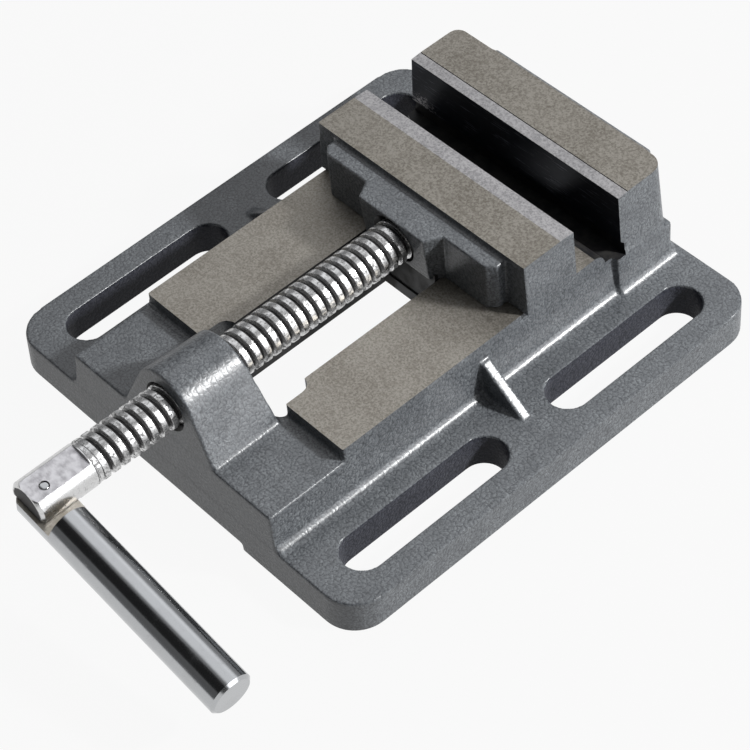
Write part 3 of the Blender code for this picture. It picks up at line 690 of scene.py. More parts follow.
@dataclass(frozen=True)
class JawFace(Finish):
    """Gripping face in near black as painted shade of the gap between the jaws, with cut marks along it, a
    scuffed end and a bare ragged upper edge.
    """

    title: str = "dark_jaw_face"
    # Near black: painted shade and painted dark reflection of the gap between the jaws.
    colour: Colour = (0.010, 0.013, 0.021)
    mark: Colour = (0.150, 0.158, 0.185)
    bare: Colour = (0.34, 0.33, 0.34)
    marks: Cloud = Cloud(0.0007, 4, 0.7, Axis.X.stretch(0.05))
    mark_share: Band = Band(0.56, 0.67)
    mark_relief: float = 0.00002
    scuff: Place = (-0.046, 0.0, 0.0365)
    scuff_stretch: Place = Axis.X.stretch(0.55)
    scuff_fade: Band = Band(0.0, 0.010, 0.30, 0.0)
    scuff_share: Band = Band(0.74, 0.84)
    grit: Cloud = Cloud(0.0009, 4, 0.8, Axis.X.stretch(0.5))
    ragged: Cloud = Cloud(0.0018, 3, 0.7, Axis.X.stretch(0.6))
    ragged_height: float = 0.0016
    bare_height: Band = Band(0.05605, 0.05625)
    gloss: Band = Band(0.3, 0.7, 0.38, 0.5)
    metallic: float = 0.6

    def wire(self, board: Board) -> None:
        """Wire the marks, the scuffed patch and the ragged edge."""
        place = board.place()
        marks = board.noise(place, self.marks)
        colour = board.blend(board.band(marks, self.mark_share), self.colour, self.mark)
        middle = tuple(length * share for length, share in zip(self.scuff, self.scuff_stretch))
        distance = board.measure("DISTANCE", board.stretch(place, self.scuff_stretch), middle)
        grit = board.sum("ADD", board.noise(place, self.grit), board.band(distance, self.scuff_fade))
        colour = board.blend(board.band(grit, self.scuff_share), colour, self.bare)
        ragged = board.sum("MULTIPLY", board.noise(place, self.ragged), self.ragged_height)
        height = board.sum("ADD", ragged, board.part(place, Axis.Z))
        board.surface({
            "Base Color": board.blend(board.band(height, self.bare_height), colour, self.bare),
            "Metallic": self.metallic,
            "Roughness": board.band(marks, self.gloss),
            "Normal": board.relief(marks, self.mark_relief),
        })


@dataclass(frozen=True)
class PlatedSteel(Finish):
    """Bright plated steel, with faint lines of drawing or turning and a few dull flecks."""

    title: str = "zinc_plate"
    colour: Colour = (0.72, 0.715, 0.70)
    dull: Colour = (0.46, 0.455, 0.44)
    drawn: Cloud = Cloud(0.0003, stretch=Axis.Y.stretch(0.02))
    drawn_relief: float = 0.000004
    flecks: Cloud = Cloud(0.0011, 4, 0.7)
    fleck_dullness: Band = Band(0.5, 0.7, 0.0, 0.35)
    fleck_relief: float = 0.000012
    cloud: Cloud = Cloud(0.009)
    cloud_dullness: Band = Band(0.45, 0.8, 0.0, 0.25)
    gloss: Band = Band(0.0, 0.6, 0.17, 0.35)

    def plate(self, board: Board, place: Socket, flecks: Socket) -> tuple[Socket, Socket]:
        """Wire how bright the plate is.

        Args:
            board: The material's board.
            place: The place on the piece.
            flecks: The pattern of its flecks.

        Returns:
            The plate's colour and its roughness.
        """
        cloud = board.band(board.noise(place, self.cloud), self.cloud_dullness)
        spots = board.sum("ADD", board.band(flecks, self.fleck_dullness), cloud)
        return board.blend(spots, self.colour, self.dull), board.band(spots, self.gloss)

    def wire(self, board: Board) -> None:
        """Wire the flecks and the lines."""
        place = board.place()
        flecks = board.noise(place, self.flecks)
        colour, gloss = self.plate(board, place, flecks)
        lines = board.relief(board.noise(place, self.drawn), self.drawn_relief)
        board.surface({
            "Base Color": colour,
            "Metallic": 1.0,
            "Roughness": gloss,
            "Normal": board.relief(flecks, self.fleck_relief, lines),
        })


@dataclass(frozen=True)
class ThreadSteel(PlatedSteel):
    """Bright steel of the lead screw, whose thread roots are darkened as painted shade, with smears of dark
    grease.
    """

    title: str = "greased_thread"
    colour: Colour = (0.66, 0.66, 0.66)
    dull: Colour = (0.40, 0.40, 0.40)
    fleck_dullness: Band = Band(0.5, 0.7, 0.0, 0.6)
    gloss: Band = Band(0.0, 0.6, 0.24, 0.42)
    # Dark colour of the painted shade in the thread roots and of the grease smears.
    grease_and_root_shade: Colour = (0.055, 0.053, 0.053)
    grease_and_root_shade_roughness: float = 0.6
    root_edge_wobble: Cloud = Cloud(0.0025, 3, 0.6)
    root_edge_wobble_depth: float = 0.0009
    unshaded_height: Band = Band(0.0057, 0.0064)
    smear: Cloud = Cloud(0.0016, 4, 0.75, Axis.Y.stretch(0.7))
    smear_share: Band = Band(0.47, 0.60, 1.0, 0.25)
    shank: Band = Band(-0.1415, -0.1405, 1.0, 0.0)
    shank_dents: Band = Band(0.0, 1.0, 1.0, 0.15)
    dents: Cloud = Cloud(0.0014, 4, 0.7)
    dent_relief: float = 0.00005
    metal: Band = Band(0.2, 0.9, 0.2, 1.0)

    def wire(self, board: Board) -> None:
        """Wire the plate, darken the thread roots as painted shade by the distance from the screw's axis, and
        smear grease over it.
        """
        place = board.place()
        steel, gloss = self.plate(board, place, board.noise(place, self.flecks))
        off_axis = board.measure("LENGTH", board.stretch(place, Axis.Y.stretch(0)))
        root_edge_wobble = board.sum("MULTIPLY", board.noise(place, self.root_edge_wobble), self.root_edge_wobble_depth)
        clean_and_unshaded = board.band(board.sum("SUBTRACT", off_axis, root_edge_wobble), self.unshaded_height)
        smear = board.band(board.noise(place, self.smear), self.smear_share)
        shank = board.band(board.part(place, Axis.Y), self.shank)
        clean_and_unshaded = board.sum("MULTIPLY", clean_and_unshaded, board.sum("MAXIMUM", smear, shank))
        dents = board.sum("MULTIPLY", board.noise(place, self.dents), board.band(shank, self.shank_dents))
        board.surface({
            "Base Color": board.blend(clean_and_unshaded, self.grease_and_root_shade, steel),
            "Metallic": board.band(clean_and_unshaded, self.metal),
            "Roughness": board.between(clean_and_unshaded, self.grease_and_root_shade_roughness, gloss),
            "Normal": board.relief(dents, self.dent_relief),
        })


@dataclass(frozen=True)
class MilledSteel(Finish):
    """Steel left as the mill cut it, with coarse marks and a darker stain."""

    title: str = "milled_steel"
    colour: Colour = (0.72, 0.71, 0.73)
    stain: Colour = (0.40, 0.39, 0.41)
    marks: Cloud = Cloud(0.0005, 4, 0.7, Axis.X.stretch(0.12))
    mark_stain: Band = Band(0.25, 0.75, 0.5, 1.0)
    mark_relief: float = 0.00004
    cloud: Cloud = Cloud(0.0035, 4, 0.65)
    cloud_stain: Band = Band(0.35, 0.7)
    gloss: Band = Band(0.3, 0.7, 0.34, 0.5)

    def wire(self, board: Board) -> None:
        """Wire the marks and the stain."""
        place = board.place()
        marks = board.noise(place, self.marks)
        cloud = board.noise(place, self.cloud)
        share = board.sum("MULTIPLY", board.band(marks, self.mark_stain), board.band(cloud, self.cloud_stain))
        board.surface({
            "Base Color": board.blend(share, self.colour, self.stain),
            "Metallic": 1.0,
            "Roughness": board.band(cloud, self.gloss),
            "Normal": board.relief(marks, self.mark_relief),
        })


@dataclass(frozen=True)
class DarkIron(Finish):
    """Dark iron with mill scale, or machined iron painted near black as painted shade."""

    title: str = "dark_rolled_steel"
    colour: Colour = (0.035, 0.035, 0.038)
    scale: Colour = (0.070, 0.066, 0.062)
    patches: Cloud = Cloud(0.0064, 5, 0.65)
    patch_scale: Band = Band(0.35, 0.65)
    grain: Cloud = Cloud(0.00064, 3)
    grain_scale: Band = Band(0.2, 0.8, 0.6, 1.0)
    grain_relief: float = 0.00003
    gloss: Band = Band(0.3, 0.7, 0.35, 0.6)
    metallic: float = 0.1
    specular: float = 0.15

    def wire(self, board: Board) -> None:
        """Wire the patches of scale and a fine grain."""
        place = board.place()
        patches = board.noise(place, self.patches)
        grain = board.noise(place, self.grain)
        fine = board.band(grain, self.grain_scale)
        share = board.sum("MULTIPLY", board.band(patches, self.patch_scale), fine)
        board.surface({
            "Base Color": board.blend(share, self.colour, self.scale),
            "Metallic": self.metallic,
            "Specular IOR Level": self.specular,
            "Roughness": board.band(patches, self.gloss),
            "Normal": board.relief(grain, self.grain_relief),
        })


ENAMEL = HammeredEnamel()
# The slots' walls get a darker, duller copy of the enamel: painted shade down in the slots.
SLOT_PAINTED_SHADE_ENAMEL = HammeredEnamel(
    title="slot_enamel", crest=(0.075, 0.078, 0.094), body=(0.036, 0.038, 0.050),
    valley=(0.014, 0.015, 0.020), coat=0.06, specular=0.03,
)
RAIL_GROUND = GroundIron()
TOP_GROUND = GroundIron(title="ground_jaw_top", colour=(0.325, 0.305, 0.270), stain=(0.172, 0.156, 0.131))
BEVEL_GROUND = GroundIron(
    title="ground_bevel", colour=(0.45, 0.44, 0.445), stain=(0.25, 0.245, 0.25),
    gloss=Band(0.2, 0.8, 0.36, 0.50),
)
FACE_PAINTED_SHADE = JawFace()
# Machined iron of the groove, the undercut, the seam, the channel, the bores and the tongue, painted near
# black as painted shade.
SHADED_IRON = DarkIron(
    title="machined_groove", colour=(0.016, 0.016, 0.018), scale=(0.036, 0.035, 0.033),
    patches=Cloud(0.0048, 5, 0.65), grain=Cloud(0.00048, 3),
)
ZINC = PlatedSteel()
THREAD = ThreadSteel()
BRIGHT = PlatedSteel(
    title="bright_bar", colour=(0.46, 0.47, 0.48), dull=(0.40, 0.40, 0.41),
    drawn=Cloud(0.0003, stretch=Axis.X.stretch(0.02)), flecks=Cloud(0.002, 4, 0.7),
    fleck_dullness=Band(0.5, 0.7, 0.0, 0.2), gloss=Band(0.0, 0.6, 0.15, 0.33),
)
MILLED = MilledSteel()
MILLED_TONGUE = MilledSteel(
    title="milled_tongue", colour=(0.58, 0.55, 0.50), stain=(0.34, 0.30, 0.24),
    marks=Cloud(0.0005, 4, 0.7, Axis.Y.stretch(0.12)),
)
ROLLED = DarkIron()


class Casting(Enum):
    """Numbers of the finishes on a casting."""

    ENAMEL = 0
    RAIL = 1
    TOP = 2
    BEVEL = 3
    FACE = 4
    # Machined faces in recesses, painted near black as painted shade.
    SHADED = 5
    # The slots' walls, in darker enamel as painted shade.
    SLOT = 6


CASTING_FINISHES = (ENAMEL, RAIL_GROUND, TOP_GROUND, BEVEL_GROUND, FACE_PAINTED_SHADE, SHADED_IRON, SLOT_PAINTED_SHADE_ENAMEL)


@dataclass(frozen=True)
class Layout:
    """Heights and places that several pieces share, read from the frame where a node shows them."""

    front: float
    rear: float
    base_width: float
    jaw_top: float
    moving_face: float
    jaw_width: float = 0.100
    jaw_draft: float = 0.0013
    bevel_drop: float = 0.0004
    rail_height: float = 0.0335
    rail_thickness: float = 0.0135
    screw_height: float = 0.0423
    screw_bore: float = 0.0083
    channel_width: float = 0.0352

    @classmethod
    def from_frame(cls) -> "Layout":
        """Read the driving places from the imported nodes."""
        low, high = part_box("base_casting")
        return cls(
            front=low.y, rear=high.y, base_width=high.x - low.x, jaw_top=high.z,
            moving_face=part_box("moving_jaw")[1].y,
        )

    @property
    def jaw_foot_width(self) -> float:
        """Return the width of the jaws at the rails."""
        return self.jaw_width + 2 * self.jaw_draft

    @property
    def rail_underside(self) -> float:
        """Return the height of the rails' underside."""
        return self.rail_height - self.rail_thickness


@dataclass
class BaseCasting:
    """The base in one casting: flange, body, rails, nut boss and fixed jaw."""

    layout: Layout
    flange_thickness: float = 0.013
    flange_corner: float = 0.013
    front_lean_share: float = 0.055
    relief_inset: float = 0.054
    relief_height: float = 0.0022
    slot_edge: float = 0.0097
    slot_width: float = 0.0158
    slot_front_setback: float = 0.0135
    slot_rear_setback: float = 0.0116
    slot_bridge: float = 0.0225
    slot_draft: float = 0.0018
    slot_wall_slope: float = 0.25
    body_inset: float = 0.001
    body_draft: float = 0.002
    body_setback: float = 0.0001
    foot_fillet: float = 0.004
    apron_height: float = 0.0283
    rail_setback: float = 0.0342
    rail_end_gap: float = 0.0106
    groove_depth: float = 0.0045
    undercut_depth: float = 0.0015
    undercut_rise: float = 0.0065
    channel_end_gap: float = 0.0067
    mouth_width: float = 0.043
    mouth_setback: float = 0.031
    mouth_length: float = 0.015
    mouth_corner: float = 0.0045
    channel_corner: float = 0.003
    tunnel_width: float = 0.060
    tunnel_floor: float = 0.0125
    tunnel_setback: float = 0.009
    tunnel_end_gap: float = 0.0062
    tunnel_corner: float = 0.004
    rib_thickness: float = 0.0042
    rib_offset: float = 0.0009
    rib_reach: float = 0.019
    rib_rise: float = 0.014
    boss_setback: float = 0.0002
    boss_length: float = 0.030
    boss_back_lean: float = 0.002
    boss_radius: float = 0.0146
    boss_back_radius: float = 0.0136
    boss_drop: float = 0.0012
    boss_flank_lean: float = 26.6
    boss_fillet: float = 0.002
    bore_chamfer: float = 0.001
    jaw_thickness: float = 0.0226
    jaw_bevel: float = 0.0042
    jaw_back_lean: float = 0.0032
    jaw_left_corner: float = 0.004
    jaw_right_corner: float = 0.006
    pad_left: float = -0.032
    pad_right: float = 0.042
    pad_reach: float = 0.0018
    seam_width: float = 0.00035
    seam_depth: float = 0.0003
    buttress_shoulder: float = 0.0007
    buttress_draft: float = 0.0008
    buttress_corner: float = 0.004
    buttress_lead: float = 0.0025
    buttress_height: float = 0.031
    buttress_drop: float = 0.004
    buttress_step: float = 0.0004
    grain: float = 0.0005
    passes: int = 12

    @property
    def body_top_width(self) -> float:
        """Return the width of the body at the rails."""
        return self.layout.jaw_width - 2 * self.body_inset

    @property
    def body_foot_width(self) -> float:
        """Return the width of the body at the flange."""
        return self.body_top_width + 2 * self.body_draft

    @property
    def buttress_foot_width(self) -> float:
        """Return the width of the fixed jaw's foot at the flange."""
        return self.layout.jaw_foot_width + 2 * (self.buttress_shoulder + self.buttress_draft)

    @property
    def groove_floor(self) -> float:
        """Return the height of the floor of the groove before the fixed jaw."""
        return self.layout.rail_height - self.groove_depth

    @property
    def slot_length(self) -> float:
        """Return the length of each slot in the flange."""
        ends = self.slot_front_setback + self.slot_rear_setback + self.slot_bridge
        return (self.layout.rear - self.layout.front - ends) / 2

    def _lean(self, depth: float) -> Callable[[float, float, float], Place]:
        """Return a move that leans the points near the front back as they rise."""
        limit = self.layout.front + depth + RUNNING_GAP

        def move(x: float, y: float, z: float) -> Place:
            """Lean one point."""
            return (x, y + (self.front_lean_share * z if y < limit else 0), z)

        return move

    def _flange(self) -> Workpiece:
        """Return the flange plate."""
        half = self.layout.base_width / 2
        outline = rounded_rectangle(-half, self.layout.front, half, self.layout.rear, self.flange_corner)
        piece = Workpiece.prism("base", outline, -MILLING_ALLOWANCE, self.flange_thickness)
        return piece.reshape(self._lean(self.flange_corner))

    def _wall(self, foot_width: float, top_width: float, top: float) -> list[Point]:
        """Return the cross outline of a body with leaning walls and a fillet at the flange."""
        foot = self.flange_thickness + self.foot_fillet
        corner = (foot_width / 2 + self.foot_fillet, foot)
        fillet = arc(corner, self.foot_fillet, FILLET_START, 180)
        right = [(fillet[0][0], self.flange_thickness - SINK), *fillet, (top_width / 2, top)]
        return mirrored(right)

    def _body(self) -> Workpiece:
        """Return the body under the rails, with its low apron at the front."""
        front = self.layout.front
        top = self.layout.rail_height + MILLING_ALLOWANCE
        outline = self._wall(self.body_foot_width, self.body_top_width, top)
        piece = Workpiece.prism("body", outline, front + self.body_setback, SINK, Axis.Y)
        piece.reshape(self._lean(self.body_setback))
        reach = self.body_foot_width
        low = (-reach, front - OVERRUN, self.apron_height)
        return piece.cut(Workpiece.box("apron", low, (reach, front + self.rail_setback, top + OVERRUN)))

    def _fixed_jaw(self) -> list[Workpiece]:
        """Return the fixed jaw and the pad on its back, whose backs lean out to the foot."""
        layout = self.layout
        half = layout.jaw_width / 2
        back = self.jaw_thickness
        rounding = self.jaw_right_corner
        right = arc((half - rounding, back - rounding), rounding, 0, 90)
        rounding = self.jaw_left_corner
        left = arc((rounding - half, back - rounding), rounding, 90, 180)
        outline = [(half, -MILLING_ALLOWANCE), *right, *left, (-half, -MILLING_ALLOWANCE)]
        top = layout.jaw_top + MILLING_ALLOWANCE
        jaw = Workpiece.prism("fixed_jaw", outline, self.flange_thickness - SINK, top)
        draft = layout.jaw_draft / half / (layout.jaw_top - layout.rail_height)
        lean = self.jaw_back_lean / back / layout.jaw_top

        def move(x: float, y: float, z: float) -> Place:
            """Widen one point towards the foot."""
            below = layout.jaw_top - z
            return (x * (1 + draft * below), y * (1 + lean * below) if y > 0 else y, z)

        jaw.reshape(move)
        low = (self.pad_left, SINK, self.flange_thickness)
        high = (self.pad_right, back + self.pad_reach, layout.jaw_top - layout.bevel_drop)
        return [jaw, Workpiece.box("jaw_pad", low, high)]

    def _buttress(self) -> Workpiece:
        """Return the wider foot of the fixed jaw, whose shoulders fall towards its round rear corners."""
        top_width = self.layout.jaw_foot_width + 2 * self.buttress_shoulder
        outline = self._wall(self.buttress_foot_width, top_width, self.buttress_height)
        back = self.jaw_thickness + self.jaw_back_lean + self.buttress_step
        piece = Workpiece.prism("buttress", outline, -self.buttress_lead, back, Axis.Y)

        def move(x: float, y: float, z: float) -> Place:
            """Lower one point at the back, and lean it with the jaw's back."""
            if y < 0:
                return (x, y, z)
            low = z - self.buttress_drop if z > self.buttress_height - RUNNING_GAP else z
            return (x, y - self.jaw_back_lean * low / self.layout.jaw_top, low)

        piece.reshape(move)
        low = self.flange_thickness + self.foot_fillet
        edge = self.buttress_foot_width / 2
        rear = back - self.jaw_back_lean * low / self.layout.jaw_top
        centre = (edge - self.buttress_corner, rear - self.buttress_corner)
        waste = [*arc(centre, self.buttress_corner, 0, 90), (centre[0], rear + OVERRUN)]
        waste += [(edge + OVERRUN, rear + OVERRUN), (edge + OVERRUN, centre[1])]
        for side in (-1, 1):
            outline = [(side * x, y) for x, y in waste]
            piece.cut(Workpiece.prism("corner", outline, low, self.buttress_height + OVERRUN))
        return piece

    def _nut_boss(self) -> Workpiece:
        """Return the arched boss with straight flanks that the screw runs in, narrower at its back."""
        lean = radians(self.boss_flank_lean)
        apron = self.apron_height
        middle = self.layout.screw_height - self.boss_drop
        foot = apron + self.boss_fillet
        across = (self.boss_radius + self.boss_fillet + (middle - foot) * sin(lean)) / cos(lean)
        fillet = arc((across, foot), self.boss_fillet, FILLET_START, 180 + self.boss_flank_lean)
        right = [(fillet[0][0], apron - SINK), *fillet]
        ends = (self.boss_flank_lean, 180 - self.boss_flank_lean)
        arch = arc((0, middle), self.boss_radius, *ends, steps=4 * CORNER_STEPS)
        outline = right + arch + [(-x, z) for x, z in reversed(right)]
        start = self.layout.front + self.boss_setback
        piece = Workpiece.prism("nut_boss", outline, start, start + self.boss_length, Axis.Y)
        taper = self.boss_back_radius / self.boss_radius
        rise = middle + self.boss_radius - apron

        def move(x: float, y: float, z: float) -> Place:
            """Lean one point of the front, or draw in one at the back."""
            if y < start + RUNNING_GAP:
                return (x, y + self.front_lean_share * z, z)
            share = min(1, (z - apron) / (middle - apron))
            up = middle + (z - middle) * taper if z > middle else z
            return (x * (1 + (taper - 1) * share), y - self.boss_back_lean * (z - apron) / rise, up)

        return piece.reshape(move)

    def _ribs(self) -> list[Workpiece]:
        """Return the gusset rib on each side of the body."""
        wall = self.body_top_width / 2 - SINK
        foot = self.body_foot_width / 2
        low = self.flange_thickness - SINK
        top = self.flange_thickness + self.rib_rise
        end = foot + self.rib_reach * (top - low) / self.rib_rise
        outline = [(wall, low), (end, low), (foot, top), (wall, top)]
        bridge = self.layout.front + self.slot_front_setback + self.slot_length + self.slot_bridge / 2
        middle = bridge + self.rib_offset
        start = middle - self.rib_thickness / 2
        end = middle + self.rib_thickness / 2
        right = Workpiece.prism("right_rib", outline, start, end, Axis.Y)
        left = Workpiece.prism("left_rib", [(-x, z) for x, z in outline], start, end, Axis.Y)
        return [right, left]

    def _draw_in(self, middle: float) -> Callable[[float, float, float], Place]:
        """Return a move that draws in the low points of a slot's far end."""

        def move(x: float, y: float, z: float) -> Place:
            """Draw in one point."""
            return (x, y - self.slot_draft if y > middle and z < 0 else y, z)

        return move

    def _cores(self) -> list[Workpiece]:
        """Return what cores leave open in the mould: slots, keeper tunnel, mouth and relief."""
        layout = self.layout
        made = []
        for side in (-1, 1):
            middle = side * (layout.base_width / 2 - self.slot_edge - self.slot_width / 2)
            left, right = middle - self.slot_width / 2, middle + self.slot_width / 2
            front = layout.front + self.slot_front_setback
            rear = layout.rear - self.slot_rear_setback - self.slot_length
            for near in (front, rear):
                outline = rounded_rectangle(left, near, right, near + self.slot_length, self.slot_width / 2)
                slot = Workpiece.prism("slot", outline, -OVERRUN, self.flange_thickness + OVERRUN)
                made.append(slot.reshape(self._draw_in(near + self.slot_length / 2)))
        half = self.tunnel_width / 2
        near = layout.front + self.tunnel_setback
        outline = rounded_rectangle(-half, near, half, -self.tunnel_end_gap, self.tunnel_corner)
        made.append(Workpiece.prism("tunnel", outline, self.tunnel_floor, layout.rail_underside))
        half = self.mouth_width / 2
        near = layout.front + self.mouth_setback
        outline = rounded_rectangle(-half, near, half, near + self.mouth_length, self.mouth_corner)
        made.append(Workpiece.prism("mouth", outline, -OVERRUN, layout.jaw_top))
        half = layout.base_width / 2 - self.relief_inset
        low = (-half, layout.front - OVERRUN, -OVERRUN)
        made.append(Workpiece.box("relief", low, (half, -self.channel_end_gap, self.relief_height)))
        return made

    def _milling(self) -> Workpiece:
        """Return what the mill takes from the rails, the groove, the jaw's face, its bevel and its top."""
        layout = self.layout
        rail, shaded, any_finish = Casting.RAIL.value, Casting.SHADED.value, Casting.ENAMEL.value
        groove_end = arc((-self.rail_end_gap, self.groove_floor), self.groove_depth, 90, 0)
        sky = layout.jaw_top + 2 * OVERRUN
        start = layout.front + self.rail_setback - SINK
        path = [((start, layout.rail_height), rail)]
        path += [(point, shaded) for point in groove_end]
        path += [
            ((self.undercut_depth, self.groove_floor), shaded),
            ((self.undercut_depth, self.groove_floor + self.undercut_rise - self.undercut_depth), shaded),
            ((0, self.groove_floor + self.undercut_rise), Casting.FACE.value),
            ((0, layout.jaw_top - layout.bevel_drop), Casting.BEVEL.value),
            ((self.jaw_bevel, layout.jaw_top), shaded),
            ((self.jaw_bevel + self.seam_width / 2, layout.jaw_top - self.seam_depth), shaded),
            ((self.jaw_bevel + self.seam_width, layout.jaw_top), Casting.TOP.value),
            ((layout.rear, layout.jaw_top), any_finish),
            ((layout.rear, sky), any_finish),
            ((start, sky), any_finish),
        ]
        half = self.buttress_foot_width / 2 + OVERRUN
        outline = [point for point, _ in path]
        return Workpiece.prism("milling", outline, -half, half, Axis.X, [number for _, number in path])

    def _channel(self) -> Workpiece:
        """Return the channel between the rails, whose sides are machined."""
        half = self.layout.channel_width / 2
        start = self.layout.front + self.mouth_setback + self.mouth_length - self.mouth_corner - SINK
        outline = rounded_rectangle(-half, start, half, -self.channel_end_gap, self.channel_corner)
        faces = [Casting.SHADED.value] * len(outline)
        return Workpiece.prism("channel", outline, -OVERRUN, self.layout.rail_height + OVERRUN, Axis.Z, faces)

    def _bore(self) -> Workpiece:
        """Return the screw's bore through the boss, chamfered at the front."""
        bore = self.layout.screw_bore
        start = self.layout.front + self.boss_setback
        face = start + self.front_lean_share * self.layout.screw_height
        back = start + self.boss_length + OVERRUN
        wide = bore + self.bore_chamfer + OVERRUN
        profile = [
            (0, face - OVERRUN), (wide, face - OVERRUN), (bore, face + self.bore_chamfer),
            (bore, back), (0, back),
        ]
        centre = (0, self.layout.screw_height)
        return Workpiece.lathe("bore", profile, Axis.Y, centre, finish=Casting.SHADED.value)

    def _underside(self) -> Workpiece:
        """Return what the mill takes from under the flange."""
        reach = self.layout.base_width
        low = (-reach, self.layout.front - OVERRUN, -2 * OVERRUN)
        return Workpiece.box("underside", low, (reach, self.layout.rear + OVERRUN, 0), Casting.RAIL.value)

    def _slot_wall_painted_shade(self, middle: Vector, normal: Vector) -> int | None:
        """Return the number of the slots' darker enamel, which paints the shade down in the slots, where a
        face is a slot's wall.
        """
        layout = self.layout
        across = layout.base_width / 2 - self.slot_edge - self.slot_width / 2
        start = layout.front + self.slot_front_setback / 2
        end = layout.rear - self.slot_rear_setback / 2
        inside = start < middle.y < end and abs(abs(middle.x) - across) < self.slot_width / 2 + SINK / 2
        steep = abs(normal.z) < self.slot_wall_slope and middle.z < self.flange_thickness
        return Casting.SLOT.value if inside and steep else None

    def build(self) -> None:
        """Cast, mill, dress and place the base."""
        piece = self._flange()
        piece.join(self._body(), *self._fixed_jaw(), self._buttress(), self._nut_boss(), *self._ribs())
        piece.cut(*self._cores())
        piece.cast(self.grain, self.passes)
        piece.dress(*CASTING_FINISHES).sort_faces(self._slot_wall_painted_shade)
        piece.cut(self._milling(), self._channel(), self._bore(), self._underside())
        piece.merge_flats().shade()
        piece.hand_over(IDENTITY, "base", "painted_casting", "base_casting")


